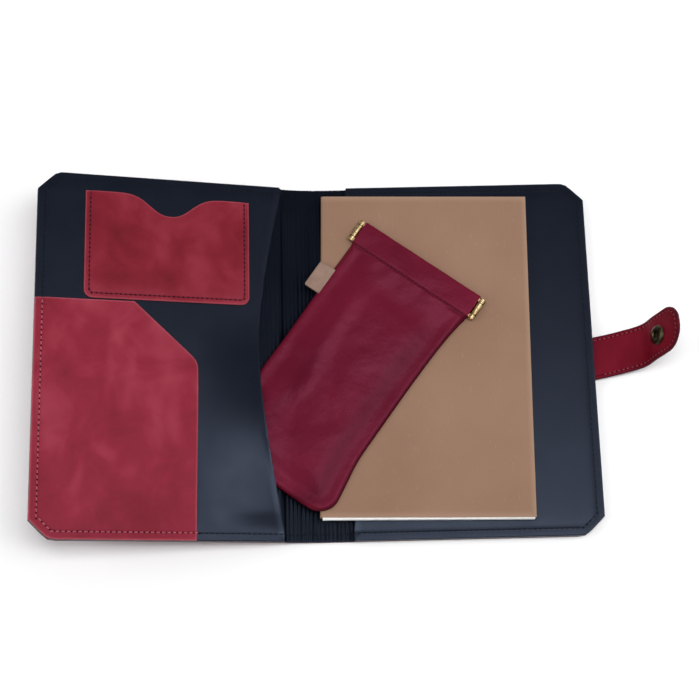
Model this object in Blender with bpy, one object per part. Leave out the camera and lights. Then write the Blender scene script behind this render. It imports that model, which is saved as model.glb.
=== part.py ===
"""Leather portfolio case, lying open, with a notebook in its sleeve and a pen pouch on top.

Design lengths are in millimetres. X runs from the spine to the strap, Y up the page, Z up.
Design X is measured from the edge of the back cover's stiff part at the spine. The part's own
origin is the middle of the back cover's underside, ORIGIN_X along.
"""

import math

import bmesh
import bpy
from mathutils import Matrix, Vector

MM = 0.001
ORIGIN_X = 75.0
GAP = 0.3
SPLIT = 0.15

# case
COVER_LENGTH = 156.0
CASE_HEIGHT = 232.0
CORNER_CUT = 11.7
SPINE_WIDTH = 42.6
HALF = CASE_HEIGHT / 2

OUTER_TOP = 1.8
BOARD = (2.1, 3.7)
LINING = (4.0, 4.8)
SPINE_LINING = (2.1, 2.9)
RIB_HEIGHT = 0.5
RIM = 7.0
BOARD_INSET = 4.0

# spine: four strips between five parallel folds at the lining's inner face
STRIP = 7.7
STRIPS = 4
FOLD_Z = SPINE_LINING[1]
FIRST_FOLD_X = -(SPINE_WIDTH - STRIP * STRIPS) / 2
REST_BENDS = (0.0, 2.0, 4.0, 4.0, 4.2)
CLOSED_BEND = 180.0 / (STRIPS + 1)

# sleeve panels: underside and top, and how far the free edge bows in from the spine
BACK_PANEL = (6.6, 7.6)
FRONT_PANEL = (5.9, 6.9)
BACK_BOW = 11.0
FRONT_BOW = 14.8
BULGE = 6.3
BULGE_Y = -50.0
BULGE_SPREAD = 48.0
BULGE_END_Y = 32.0
BULGE_DEPTH = 38.0

# pockets on the front panel
POCKET = (7.2, 9.0)
POCKET_SLOT = 0.8
POCKET_RIM = 3.5

# strap: developed length along X beyond its first fold, leaning towards +Y
STRAP_WIDTH = 27.5
STRAP_Y = -2.4
STRAP_LEAN = math.radians(10.5)
STRAP_THICK = 2.0
STRAP_FOLD = (157.6, 3.8)
STRAP_LENGTHS = (13.0, 16.05, 35.95)
STRAP_REST = (6.0, 20.0, 62.0)
STRAP_CLOSED = (75.0, 100.0, 180.0)
STRAP_TIP_RADIUS = 9.0
STRAP_ANCHOR = 16.0
SNAP_ALONG = 17.0

# notebook
BOOK_CENTRE = (48.4, 1.5)
BOOK_TURN = math.radians(-1.3)
BOOK_WIDTH = 133.0
BOOK_HEIGHT = 210.0
BOOK_LEAF = (5.7, 6.2)
BOOK_TOP = (12.6, 13.1)
PAGES = (7.9, 12.3)

# pen pouch: s runs across it, t down it
POUCH_CORNER = (13.4, 87.9)
POUCH_TURN = math.radians(36.0)
POUCH_WIDTH = 88.0
POUCH_LENGTH = 173.0
POUCH_RADIUS = 14.0
CREASE_X = -21.0
TUCK_X = -59.5
POUCH_BOTTOM = 13.4
BAND_TOP = 18.9
STRIP_T = (1.3, 15.7)
BARREL_Z = 16.15
BARREL_R = 2.2
PIN_R = 0.75

COLOURS = {
    "red_leather": ((0.29, 0.035, 0.05, 1), 0.45, 0.0),
    "black_leather": ((0.02, 0.023, 0.032, 1), 0.4, 0.0),
    "burgundy_leather": ((0.16, 0.014, 0.03, 1), 0.42, 0.0),
    "natural_leather": ((0.42, 0.27, 0.2, 1), 0.8, 0.0),
    "board": ((0.35, 0.3, 0.24, 1), 0.9, 0.0),
    "kraft_card": ((0.38, 0.24, 0.17, 1), 0.85, 0.0),
    "paper": ((0.85, 0.83, 0.78, 1), 0.9, 0.0),
    "brass": ((0.72, 0.55, 0.28, 1), 0.3, 1.0),
    "antique_brass": ((0.16, 0.12, 0.07, 1), 0.4, 1.0),
}


def clear_scene():
    for thing in list(bpy.data.objects):
        bpy.data.objects.remove(thing, do_unlink=True)


def make_materials():
    made = {}
    for name, (colour, roughness, metallic) in COLOURS.items():
        material = bpy.data.materials.new(name)
        material.use_nodes = True
        shader = material.node_tree.nodes["Principled BSDF"]
        shader.inputs["Base Color"].default_value = colour
        shader.inputs["Roughness"].default_value = roughness
        shader.inputs["Metallic"].default_value = metallic
        material.diffuse_color = colour
        made[name] = material
    return made


def turn_about(x, z, degrees):
    """A turn about the line along +Y through (x, z); the side towards -X rises."""
    there = Matrix.Translation((x, 0, z))
    return there @ Matrix.Rotation(math.radians(degrees), 4, "Y") @ there.inverted()


def fold_places(bends):
    """Where each spine strip and the front cover stand, from the bend at each fold."""
    places = []
    place = Matrix.Identity(4)
    for number, bend in enumerate(bends):
        place = place @ turn_about(FIRST_FOLD_X - number * STRIP, FOLD_Z, bend)
        places.append(place)
    return places


def strap_places(slopes):
    """Where each strap length stands, from its slope above the table."""
    places = []
    place = Matrix.Identity(4)
    before = 0.0
    x = STRAP_FOLD[0]
    for length, slope in zip(STRAP_LENGTHS, slopes):
        place = place @ turn_about(x, STRAP_FOLD[1], before - slope)
        places.append(place)
        before = slope
        x += length
    return places


def to_pouch(s, t):
    """Plan position of a point s across and t down the pouch."""
    across = Vector((math.cos(POUCH_TURN), -math.sin(POUCH_TURN)))
    down = Vector((-math.sin(POUCH_TURN), -math.cos(POUCH_TURN)))
    return Vector(POUCH_CORNER) + s * across + t * down


def pouch_t(x, y):
    offset = Vector((x, y)) - Vector(POUCH_CORNER)
    return -offset.x * math.sin(POUCH_TURN) - offset.y * math.cos(POUCH_TURN)


def arc(centre, radius, start, end, steps=8):
    points = []
    for step in range(steps + 1):
        angle = math.radians(start + (end - start) * step / steps)
        points.append((centre[0] + radius * math.cos(angle), centre[1] + radius * math.sin(angle)))
    return points


def between(table, value):
    """Straight-line interpolation in a table of (position, height)."""
    if value <= table[0][0]:
        return table[0][1]
    for (a, low), (b, high) in zip(table, table[1:]):
        if value <= b:
            return low + (high - low) * (value - a) / (b - a)
    return table[-1][1]


def slab(outline, bottom, top, cuts=(), keep=()):
    """A closed plate over an outline. bottom and top are heights or functions of (x, y).

    cuts are plan lines ((x, y), (normal x, normal y)) where the heights change slope;
    keep are the same, and drop what lies on the side the normal points to.
    """
    low = bottom if callable(bottom) else lambda x, y: bottom
    high = top if callable(top) else lambda x, y: top
    bm = bmesh.new()
    bm.faces.new([bm.verts.new((x, y, 0)) for x, y in outline])
    for point, normal in list(cuts) + list(keep):
        bmesh.ops.bisect_plane(
            bm,
            geom=bm.verts[:] + bm.edges[:] + bm.faces[:],
            plane_co=(point[0], point[1], 0),
            plane_no=(normal[0], normal[1], 0),
            clear_outer=(point, normal) in keep,
        )
    bm.normal_update()
    for face in bm.faces:
        if face.normal.z < 0:
            face.normal_flip()
    lower = {v: bm.verts.new((v.co.x, v.co.y, low(v.co.x, v.co.y))) for v in list(bm.verts)}
    upper_faces = list(bm.faces)
    rims = [loop for face in upper_faces for loop in face.loops if len(loop.edge.link_faces) == 1]
    walls = [(loop.vert, loop.link_loop_next.vert) for loop in rims]
    for face in upper_faces:
        bm.faces.new([lower[v] for v in reversed(face.verts)])
    for a, b in walls:
        bm.faces.new((b, a, lower[a], lower[b]))
    for vertex in lower:
        vertex.co.z = high(vertex.co.x, vertex.co.y)
    if cuts:
        bmesh.ops.triangulate(bm, faces=[f for f in bm.faces if len(f.verts) > 4])
    return bm


def lathe(profile, segments=40):
    """A solid turned about Z from (radius, height) points running once round its section."""
    bm = bmesh.new()
    rings = []
    for radius, height in profile:
        if radius < 1e-6:
            rings.append([bm.verts.new((0, 0, height))])
            continue
        turn = 2 * math.pi / segments
        ring = [(radius * math.cos(k * turn), radius * math.sin(k * turn), height) for k in range(segments)]
        rings.append([bm.verts.new(point) for point in ring])
    for ring, following in zip(rings, rings[1:] + rings[:1]):
        for k in range(segments):
            j = (k + 1) % segments
            corners = [ring[k % len(ring)], ring[j % len(ring)]]
            corners += [following[j % len(following)], following[k % len(following)]]
            corners = list(dict.fromkeys(corners))
            if len(corners) > 2:
                bm.faces.new(corners)
    bmesh.ops.recalc_face_normals(bm, faces=bm.faces[:])
    return bm


def box(low, high):
    return slab([(low[0], low[1]), (high[0], low[1]), (high[0], high[1]), (low[0], high[1])], low[2], high[2])


def extruded(section, y_low, y_high):
    """A solid with an (x, z) section, running along Y."""
    bm = bmesh.new()
    near = [bm.verts.new((x, y_low, z)) for x, z in section]
    far = [bm.verts.new((x, y_high, z)) for x, z in section]
    bm.faces.new(near)
    bm.faces.new(far[::-1])
    for k in range(len(section)):
        j = (k + 1) % len(section)
        bm.faces.new((near[j], near[k], far[k], far[j]))
    bmesh.ops.recalc_face_normals(bm, faces=bm.faces[:])
    return bm


def grid_cut(bm, xs, ys):
    """Extra edges along lines of constant x and y."""
    for values, normal in ((xs, (1, 0, 0)), (ys, (0, 1, 0))):
        for value in values:
            point = tuple(value * part for part in normal)
            bmesh.ops.bisect_plane(
                bm, geom=bm.verts[:] + bm.edges[:] + bm.faces[:], plane_co=point, plane_no=normal
            )
    bmesh.ops.triangulate(bm, faces=bm.faces[:])


def combined(bm, other, operation):
    """bm with another solid taken away from it or joined to it."""
    scratch = []
    for solid in (bm, other):
        mesh = bpy.data.meshes.new("scratch")
        solid.to_mesh(mesh)
        solid.free()
        thing = bpy.data.objects.new("scratch", mesh)
        bpy.context.scene.collection.objects.link(thing)
        scratch.append(thing)
    modifier = scratch[0].modifiers.new("combine", "BOOLEAN")
    modifier.operation = operation
    modifier.solver = "EXACT"
    modifier.object = scratch[1]
    bpy.context.view_layer.update()
    evaluated = scratch[0].evaluated_get(bpy.context.evaluated_depsgraph_get())
    result = bmesh.new()
    result.from_mesh(evaluated.to_mesh())
    evaluated.to_mesh_clear()
    for thing in scratch:
        bpy.data.objects.remove(thing, do_unlink=True)
    bmesh.ops.remove_doubles(result, verts=result.verts[:], dist=1e-5)
    return result


def cut_away(bm, other):
    return combined(bm, other, "DIFFERENCE")


def joined(bm, other):
    return combined(bm, other, "UNION")


def add_node(name, bm, material, place=None, axis=(0.0, 0.0, 0.0), smooth=False):
    """A finished solid as an object whose origin is on its body's joint axis."""
    if place is not None:
        bm.transform(place)
    bm.transform(Matrix.Translation((-axis[0], -axis[1], -axis[2])))
    bm.transform(Matrix.Scale(MM, 4))
    mesh = bpy.data.meshes.new(name)
    bm.to_mesh(mesh)
    bm.free()
    mesh.materials.append(material)
    node = bpy.data.objects.new(name, mesh)
    bpy.context.scene.collection.objects.link(node)
    node.location = ((axis[0] - ORIGIN_X) * MM, axis[1] * MM, axis[2] * MM)
    if smooth:
        mesh.shade_smooth()
        mesh.set_sharp_from_angle(angle=math.radians(35))
    return node


def cover_outline(near, far, side, inset=0.0):
    """A cover's plan from the spine side (near) to the fore-edge (far), its outer corners cut."""
    edge = far - side * inset
    half = HALF - inset
    cut = CORNER_CUT - inset * (2 - math.sqrt(2))
    corners = [(near, -half), (edge - side * cut, -half), (edge, -half + cut)]
    return corners + [(edge, half - cut), (edge - side * cut, half), (near, half)]


def free_edge(start, side, bow, steps=24):
    """The sleeve panel's bowed free edge, from the top of the page down."""
    points = []
    for step in range(steps + 1):
        y = HALF - CASE_HEIGHT * step / steps
        points.append((start + side * bow * math.cos(math.pi * y / CASE_HEIGHT), y))
    return points


def mirror_x(x):
    """The front cover is the back cover mirrored in the middle of the spine."""
    return -SPINE_WIDTH - x


def strap_edge(x, offset):
    """A point of the flat strap, offset sideways from its centre line."""
    along = (x - STRAP_FOLD[0]) * math.tan(STRAP_LEAN)
    return (x, STRAP_Y + along + offset / math.cos(STRAP_LEAN))


def build_cover(side, made, place, axis):
    """Outer leather, stiffener and lining of one cover; side is 1 for back, -1 for front."""
    name = "back" if side > 0 else "front"

    def across(x):
        return x if side > 0 else mirror_x(x)

    fold = across(FIRST_FOLD_X + SPLIT)
    far = across(COVER_LENGTH)
    outer = slab(cover_outline(fold, far, side), 0.0, OUTER_TOP)
    board_near = across(3.2)
    board = cover_outline(board_near, far, side, BOARD_INSET)
    if side > 0:
        pocket = [strap_edge(156, -17), strap_edge(138.5, -17), strap_edge(138.5, 17), strap_edge(156, 17)]
        notch_low, notch_high = pocket[1][1], pocket[2][1]
        corner = board.index((far - BOARD_INSET, min(y for x, y in board if x == far - BOARD_INSET)))
        edge = far - BOARD_INSET
        board[corner + 1 : corner + 1] = [
            (edge, notch_low), (138.5, notch_low), (138.5, notch_high), (edge, notch_high)
        ]
    stiffener = slab(board, *BOARD)

    ramp = [(-1.0, SPINE_LINING[1]), (2.0, LINING[1])]

    def lining_top(x, y):
        return between(ramp, across(x))

    cuts = [((across(x), 0), (1, 0)) for x, _ in ramp]
    lining = slab(cover_outline(fold, far, side), SPINE_LINING[0], lining_top, cuts=cuts)
    hollow = slab(cover_outline(across(3.2 - GAP), far, side, BOARD_INSET - GAP), 1.0, LINING[0])
    lining = cut_away(lining, hollow)
    if side > 0:
        channel = [strap_edge(x, w) for x, w in ((150, -14.1), (160, -14.1), (160, 14.1), (150, 14.1))]
        lining = cut_away(lining, slab(channel, 1.0, LINING[0]))

    if side < 0:
        stud_x, stud_y = stud_point()
        well = lathe([(0, 1.5), (5.2, 1.5), (5.2, 5.0), (0, 5.0)])
        well.transform(Matrix.Translation((stud_x, stud_y, 0)))
        stiffener = cut_away(stiffener, well)
        hole = lathe([(0, -1.0), (1.7, -1.0), (1.7, 3.0), (0, 3.0)])
        hole.transform(Matrix.Translation((stud_x, stud_y, 0)))
        outer = cut_away(outer, hole)

    add_node(f"{name}_outer_leather", outer, made["red_leather"], place, axis)
    add_node(f"{name}_stiffener", stiffener, made["board"], place, axis)
    add_node(f"{name}_lining", lining, made["black_leather"], place, axis)


def sleeve_panel(side, levels, start, bow):
    """A sleeve panel, sewn down along three sides, with a slot under it open to the spine."""
    far = COVER_LENGTH if side > 0 else mirror_x(COVER_LENGTH)
    outline = free_edge(start, side, bow) + cover_outline(start, far, side)[1:5]
    if side < 0:
        outline.reverse()
    panel = slab(outline, LINING[1] + GAP, levels[1])
    slot = cover_outline(start - side * 30, far, side, RIM)
    return cut_away(panel, slab(slot, 0.0, levels[0]))


def bulge(x, y):
    """How far the front panel stands up near its free edge, over the pouch's corner."""
    edge = mirror_x(0.0) - 1.5 - FRONT_BOW * math.cos(math.pi * y / CASE_HEIGHT)
    depth = max(0.0, edge - x) / BULGE_DEPTH
    if depth >= 1:
        return 0.0
    ends = min(1.0, max(0.0, (HALF - RIM + y) / 12), max(0.0, (BULGE_END_Y - y) / 40))
    spread = math.exp(-(((y - BULGE_Y) / BULGE_SPREAD) ** 2))
    return BULGE * spread * ends * (1 - depth**3) ** 1.3


def build_front_panel(made, place, axis):
    start = mirror_x(1.5)
    panel = sleeve_panel(-1, FRONT_PANEL, start, FRONT_BOW)
    across = [-66.0, -74.0, -82.0, -89.0, -94.0, -97.0]
    upward = [-109.0, -97.0, -80.0, -62.0, -42.0, -22.0, -8.0, 12.0, 32.0]
    grid_cut(panel, across, upward)
    for vertex in panel.verts:
        vertex.co.z += bulge(vertex.co.x, vertex.co.y)
    add_node("front_sleeve_panel", panel, made["black_leather"], place, axis)


def pocket_plate(outline, slot):
    plate = slab(outline, POCKET[0], POCKET[1])
    return cut_away(plate, slab(slot, 0.0, POCKET[0] + POCKET_SLOT))


def build_pockets(made, place, axis):
    fold = mirror_x(0.0)

    def local(points):
        return [(fold + x, y) for x, y in points]

    wave = [(-126.5, 104.6), (-112.0, 104.9), (-105.0, 104.2), (-99.0, 102.2), (-90.3, 96.8), (-82.0, 92.0)]
    wave += [(-72.5, 90.1), (-63.4, 92.6), (-54.1, 99.0), (-48.0, 101.9), (-40.0, 103.0), (-22.4, 102.6)]
    card = arc((-121.5, 39.0), 5.0, 180, 270) + arc((-28.4, 39.0), 6.0, 270, 360)
    inner = [(-123.0, 120.0), (-123.0, 37.5), (-25.9, 37.5), (-25.9, 120.0)]
    card_pocket = pocket_plate(local(card + wave[::-1]), local(inner))
    add_node("card_pocket", card_pocket, made["red_leather"], place, axis)

    low, left = -HALF, -COVER_LENGTH
    document = [(left, low + CORNER_CUT), (left + CORNER_CUT, low), (-56.0, low), (-54.6, -8.0)]
    document += [(-55.4, -5.2), (-57.5, -2.2), (-92.0, 29.8), (-95.5, 32.0), (-100.0, 32.6), (left, 32.6)]
    rim = POCKET_RIM + 2
    inner = [(left + rim, low + CORNER_CUT), (left + rim + 6, low + rim), (-40.0, low + rim)]
    inner += [(-40.0, 50.0), (left + rim, 50.0)]
    document_pocket = pocket_plate(local(document), local(inner))
    add_node("document_pocket", document_pocket, made["red_leather"], place, axis)


def stud_point():
    """Flat position of the stud on the front cover, under the socket when all is closed."""
    along = STRAP_FOLD[0] + STRAP_LENGTHS[0] + STRAP_LENGTHS[1] + SNAP_ALONG
    socket = Vector((along, strap_edge(along, 0)[1], STRAP_FOLD[1]))
    closed = strap_places(STRAP_CLOSED)[2] @ socket
    cover = fold_places([CLOSED_BEND] * (STRIPS + 1))[-1]
    flat = cover.inverted() @ closed
    return flat.x, flat.y


def build_stud(made, place, axis):
    x, y = stud_point()
    there = Matrix.Translation((x, y, 0))
    stud = lathe(
        [(1.5, -0.2), (5.2, -0.2), (5.2, -0.5), (4.8, -0.7), (2.0, -0.7), (1.9, -1.0), (2.2, -1.3),
         (2.2, -1.65), (1.9, -1.9), (1.5, -1.9)]
    )
    rivet = lathe([(0, -1.5), (1.4, -1.5), (1.4, 2.0), (4.6, 2.0), (4.6, 2.5), (3.8, 2.9), (0, 2.9)])
    add_node("snap_stud", stud, made["antique_brass"], place @ there, axis, smooth=True)
    add_node("snap_stud_rivet", rivet, made["antique_brass"], place @ there, axis, smooth=True)


def rib_section(x_low, x_high):
    """Section of a spine lining strip: a thin sheet with three soft ribs."""
    pitch = (x_high - x_low + 2 * SPLIT) / 3
    bottom, top = SPINE_LINING
    section = [(x_low, bottom), (x_high, bottom)]
    for rib in (2, 1, 0):
        middle = x_low - SPLIT + pitch * (rib + 0.5)
        for offset, rise in ((0.95, 0.0), (0.55, 0.8), (0.0, 1.0), (-0.55, 0.8), (-0.95, 0.0)):
            section.append((middle + offset, top + rise * RIB_HEIGHT))
    section.insert(2, (x_high, top))
    section.append((x_low, top))
    return section


def build_spine(made, places):
    for number in range(STRIPS):
        right = FIRST_FOLD_X - number * STRIP
        place = places[number]
        start = places[number - 1] if number else Matrix.Identity(4)
        axis = start @ Vector((right, 0, FOLD_Z))
        low, high = right - STRIP + SPLIT, right - SPLIT
        leather = box((low, -HALF, 0), (high, HALF, OUTER_TOP))
        lining = extruded(rib_section(low, high), -HALF, HALF)
        add_node(f"spine_leather_{number + 1}", leather, made["red_leather"], place, axis)
        add_node(f"spine_lining_{number + 1}", lining, made["black_leather"], place, axis)


def strap_tip():
    """Plan of the strap's rounded end, from its lower side round to its upper side."""
    end = STRAP_FOLD[0] + sum(STRAP_LENGTHS)
    half = STRAP_WIDTH / 2
    radius = STRAP_TIP_RADIUS
    turned = arc((-radius, radius - half), radius, -90, 0) + arc((-radius, half - radius), radius, 0, 90)
    points = []
    for u, w in turned:
        points.append(strap_edge(end + u, w))
    return points


def build_strap(made, places):
    names = ("root", "middle", "end")
    half = STRAP_WIDTH / 2
    top = STRAP_FOLD[1]
    x = STRAP_FOLD[0]
    anchor = [strap_edge(x - STRAP_ANCHOR, -half), strap_edge(x - 0.2, -half)]
    anchor += [strap_edge(x - 0.2, half), strap_edge(x - STRAP_ANCHOR, half)]
    add_node("strap_anchor", slab(anchor, *BOARD), made["red_leather"])
    start = Matrix.Identity(4)
    for name, length, place in zip(names, STRAP_LENGTHS, places):
        axis = start @ Vector((x, 0, top))
        near, far = x + SPLIT, x + length - SPLIT
        if name == "end":
            outline = [strap_edge(near, -half)] + strap_tip() + [strap_edge(near, half)]
        else:
            outline = [strap_edge(near, -half), strap_edge(far, -half)]
            outline += [strap_edge(far, half), strap_edge(near, half)]
        leather = slab(outline, top - STRAP_THICK, top)
        if name == "end":
            snap_x, snap_y = strap_edge(x + SNAP_ALONG, 0)
            hole = lathe([(0, 0.0), (1.8, 0.0), (1.8, 6.0), (0, 6.0)])
            hole.transform(Matrix.Translation((snap_x, snap_y, 0)))
            leather = cut_away(leather, hole)
            there = place @ Matrix.Translation((snap_x, snap_y, top))
            socket = lathe(
                [(1.6, 0.2), (6.2, 0.2), (6.2, 0.7), (5.6, 1.3), (4.3, 1.8), (3.2, 1.8), (2.6, 1.5),
                 (2.6, 0.4), (1.6, 0.4)]
            )
            under = -STRAP_THICK - 0.2
            cap = lathe(
                [(0, 0.65), (2.1, 0.65), (2.1, 0.5), (1.4, 0.5), (1.4, under), (6.3, under),
                 (6.3, under - 0.4), (5.2, under - 1.0), (3.2, under - 1.4), (0, under - 1.5)]
            )
            add_node("snap_socket", socket, made["antique_brass"], there, axis, smooth=True)
            add_node("snap_cap", cap, made["antique_brass"], there, axis, smooth=True)
        add_node(f"strap_{name}_leather", leather, made["red_leather"], place, axis)
        start = place
        x += length


def build_notebook(made):
    half = BOOK_WIDTH / 2
    section = [(half, BOOK_LEAF[0]), (half, BOOK_LEAF[1]), (0.8 - half, BOOK_LEAF[1]), (0.5 - half, 6.5)]
    section += [(0.5 - half, 12.2), (0.9 - half, BOOK_TOP[0]), (half, BOOK_TOP[0]), (half, BOOK_TOP[1])]
    section += [(0.7 - half, BOOK_TOP[1]), (-half, 12.4), (-half, 6.3), (0.6 - half, BOOK_LEAF[0])]
    cover = extruded(section, -BOOK_HEIGHT / 2, BOOK_HEIGHT / 2)
    pages = box((1.2 - half, -BOOK_HEIGHT / 2 + 0.3, PAGES[0]), (half - 0.8, BOOK_HEIGHT / 2 - 0.3, PAGES[1]))
    there = Matrix.Translation((*BOOK_CENTRE, 0)) @ Matrix.Rotation(BOOK_TURN, 4, "Z")
    add_node("notebook_cover", cover, made["kraft_card"], there)
    add_node("page_block", pages, made["paper"], there)


def pouch_outline():
    corner = POUCH_RADIUS
    waist = [(0.0, 17.0), (2.4, 33.0), (3.9, 60.0), (4.5, 85.0), (4.5, 120.0), (3.4, 139.0), (1.2, 152.0)]
    side = [(POUCH_WIDTH - inward, t) for inward, t in waist]
    right = arc((POUCH_WIDTH - corner, POUCH_LENGTH - corner), corner, 0, 90)
    left = arc((corner, POUCH_LENGTH - corner), corner, 90, 180)
    return [tuple(to_pouch(s, t)) for s, t in [(0, 0), (POUCH_WIDTH, 0)] + side + right + left]


def tuck(x):
    """Rise of the pouch's corner where it lies on the front cover's slope."""
    return max(0.0, TUCK_X - x) * math.tan(math.radians(sum(REST_BENDS)))


def build_pouch(made):
    outline = pouch_outline()
    across = (math.sin(POUCH_TURN), math.cos(POUCH_TURN))
    levels = (17, 32, 60, 100)
    cuts = [(tuple(to_pouch(0, t)), across) for t in levels] + [((TUCK_X, 0), (1, 0))]
    front_top = [(17, BAND_TOP), (32, 17.2), (60, 16.6), (100, 15.7)]
    front_low = [(17, 16.3), (32, 16.2), (60, 15.6), (100, 14.7)]
    back_top = [(17, 16.0), (32, 14.4)]

    def height(table):
        return lambda x, y: between(table, pouch_t(x, y)) + tuck(x)

    def floor(x, y):
        return POUCH_BOTTOM + tuck(x)

    layers = {
        "front": (height(front_low), height(front_top), (16.95, 17.95)),
        "back": (floor, height(back_top), (14.35, 15.35)),
    }
    crease_z = 15.85
    for name, (low, high, tunnel) in layers.items():
        for part, keep in (("leather", (CREASE_X + SPLIT, -1)), ("flap", (CREASE_X - SPLIT, 1))):
            solid = slab(outline, low, high, cuts=cuts, keep=[((keep[0], 0), (keep[1], 0))])
            axis = (0.0, 0.0, 0.0)
            if part == "flap":
                axis = (CREASE_X, 0.0, crease_z)
            else:
                corners = [(-5, STRIP_T[0] - GAP), (POUCH_WIDTH + 5, STRIP_T[0] - GAP)]
                corners += [(POUCH_WIDTH + 5, STRIP_T[1] + GAP), (-5, STRIP_T[1] + GAP)]
                hollow = slab([tuple(to_pouch(s, t)) for s, t in corners], *tunnel)
                solid = cut_away(solid, hollow)
            add_node(f"pouch_{name}_{part}", solid, made["burgundy_leather"], None, axis)

    tab = [(3.0, 37.5), (-8.5, 37.5), (-10.0, 39.0), (-10.0, 54.5), (-8.0, 56.5), (3.0, 56.5)]
    add_node("pouch_tab", slab([tuple(to_pouch(s, t)) for s, t in tab], 14.7, 15.3), made["natural_leather"])


def rod(radius, t_low, t_high, s, segments=24):
    """A round bar along the pouch's t direction."""
    bm = lathe([(0, t_low), (radius, t_low), (radius, t_high), (0, t_high)], segments)
    bm.transform(Matrix.Rotation(math.radians(90), 4, "X"))
    place = Matrix.Translation((*to_pouch(s, 0), BARREL_Z)) @ Matrix.Rotation(-POUCH_TURN, 4, "Z")
    bm.transform(place)
    return bm


def plate(s_low, s_high, t_low, t_high, z_low, z_high):
    corners = [(s_low, t_low), (s_high, t_low), (s_high, t_high), (s_low, t_high)]
    return slab([tuple(to_pouch(s, t)) for s, t in corners], z_low, z_high)


def build_flex_frame(made):
    """Two spring strips in the pouch's band, with knuckles and a pin at each end."""
    ends = (-2.3, POUCH_WIDTH + 2.3)
    knuckles = {"front": ((0.9, 3.7), (12.9, 15.7)), "back": ((4.2, 12.4),)}
    levels = {"front": (17.2, 17.7), "back": (14.6, 15.1)}
    for name in ("front", "back"):
        low, high = levels[name]
        strip = plate(0.4, POUCH_WIDTH - 0.4, STRIP_T[0], STRIP_T[1], low, high)
        for s in ends:
            inner = 1.4 if s < 0 else POUCH_WIDTH - 1.4
            for t_low, t_high in knuckles[name]:
                arm = plate(min(s, inner), max(s, inner), t_low + 0.5, t_high - 0.25, low + 0.02, high - 0.02)
                strip = joined(strip, joined(rod(BARREL_R, t_low, t_high, s), arm))
            strip = cut_away(strip, rod(PIN_R + 0.06, -2.0, 20.0, s))
        add_node(f"flex_strip_{name}", strip, made["brass"], smooth=True)
    for name, s in zip(("left", "right"), ends):
        add_node(f"frame_pin_{name}", rod(PIN_R, 0.6, 16.0, s), made["brass"], smooth=True)


def main():
    clear_scene()
    made = make_materials()
    folds = fold_places(REST_BENDS)
    straps = strap_places(STRAP_REST)
    front_axis = folds[-2] @ Vector((FIRST_FOLD_X - STRIPS * STRIP, 0, FOLD_Z))
    build_cover(1, made, None, (0.0, 0.0, 0.0))
    back_panel = sleeve_panel(1, BACK_PANEL, -0.5, BACK_BOW)
    add_node("back_sleeve_panel", back_panel, made["black_leather"])
    build_spine(made, folds)
    build_cover(-1, made, folds[-1], front_axis)
    build_front_panel(made, folds[-1], front_axis)
    build_pockets(made, folds[-1], front_axis)
    build_stud(made, folds[-1], front_axis)
    build_strap(made, straps)
    build_notebook(made)
    build_pouch(made)
    build_flex_frame(made)


main()
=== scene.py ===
"""Looks of the leather portfolio case: leather skins, stitching, pen pouch, notebook, light, camera.

Lengths are in millimetres in the design's coordinates: X from the back cover's spine edge towards
the strap, Y up the page, Z up. Each mesh is drawn flat, as the leather was cut, and then laid
where its body stands at rest. Finished meshes are in metres in the row frame.
"""

import math

import bmesh
import bpy
import numpy as np
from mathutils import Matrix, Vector


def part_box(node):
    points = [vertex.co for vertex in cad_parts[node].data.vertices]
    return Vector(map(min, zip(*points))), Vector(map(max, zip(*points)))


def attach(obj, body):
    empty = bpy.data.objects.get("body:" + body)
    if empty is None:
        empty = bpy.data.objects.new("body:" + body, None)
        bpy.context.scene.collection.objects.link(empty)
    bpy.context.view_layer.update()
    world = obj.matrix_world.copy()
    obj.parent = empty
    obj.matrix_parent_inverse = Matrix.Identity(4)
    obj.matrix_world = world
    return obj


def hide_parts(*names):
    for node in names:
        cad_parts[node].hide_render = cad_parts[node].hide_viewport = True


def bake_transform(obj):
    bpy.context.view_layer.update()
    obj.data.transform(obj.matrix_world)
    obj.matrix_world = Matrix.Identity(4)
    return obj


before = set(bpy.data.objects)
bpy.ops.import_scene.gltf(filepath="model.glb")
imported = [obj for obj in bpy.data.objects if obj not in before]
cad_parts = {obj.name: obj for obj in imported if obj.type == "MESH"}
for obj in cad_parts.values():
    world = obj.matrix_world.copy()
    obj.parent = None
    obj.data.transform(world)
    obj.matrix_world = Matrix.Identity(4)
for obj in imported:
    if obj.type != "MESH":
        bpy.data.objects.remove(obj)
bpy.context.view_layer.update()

MM = 0.001

# case, as in the part
COVER_LENGTH = 156.0
SPINE_WIDTH = 42.6
CORNER_CUT = 11.7
SIDES = ((1, "back_cover", "back"), (-1, "front_cover", "front"))
ORIGIN_X = COVER_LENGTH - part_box("back_outer_leather")[1].x / MM
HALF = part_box("back_outer_leather")[1].y / MM
OUTER_TOP = 1.8
OUTER_WEAR = 0.9
# reach of the panels' and pockets' edge marks: rubbing, and on the black panels a painted highlight
PANEL_EDGE_REACH = 0.55
GROOVE_WIDTH = 0.35
LINING = (4.0, 4.8)
SPINE_LINING = (2.1, 2.9)
RIM = 7.0
BOARD_START = 3.2
STITCH_INSET = 4.6
STITCH_PITCH = 3.3

# spine: five folds, each a zone in which the leather turns by some degrees at rest
STRIP = 7.7
FIRST_FOLD_X = -5.9
FOLD_Z = 2.9
FOLD_BENDS = (0.0, 2.0, 4.0, 4.0, 4.2)
RIB_PITCH = STRIP / 3
RIB_HEIGHT = 0.32

# sleeve panels
BACK_PANEL = (6.6, 7.6)
FRONT_PANEL = (5.9, 6.9)
PANEL_UNDERSIDE = 5.1
BACK_BOW = 11.0
FRONT_BOW = 14.8
BULGE = 6.3
BULGE_Y = -50.0
BULGE_SPREAD = 48.0
BULGE_END_Y = 32.0
BULGE_DEPTH = 45.0

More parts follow.
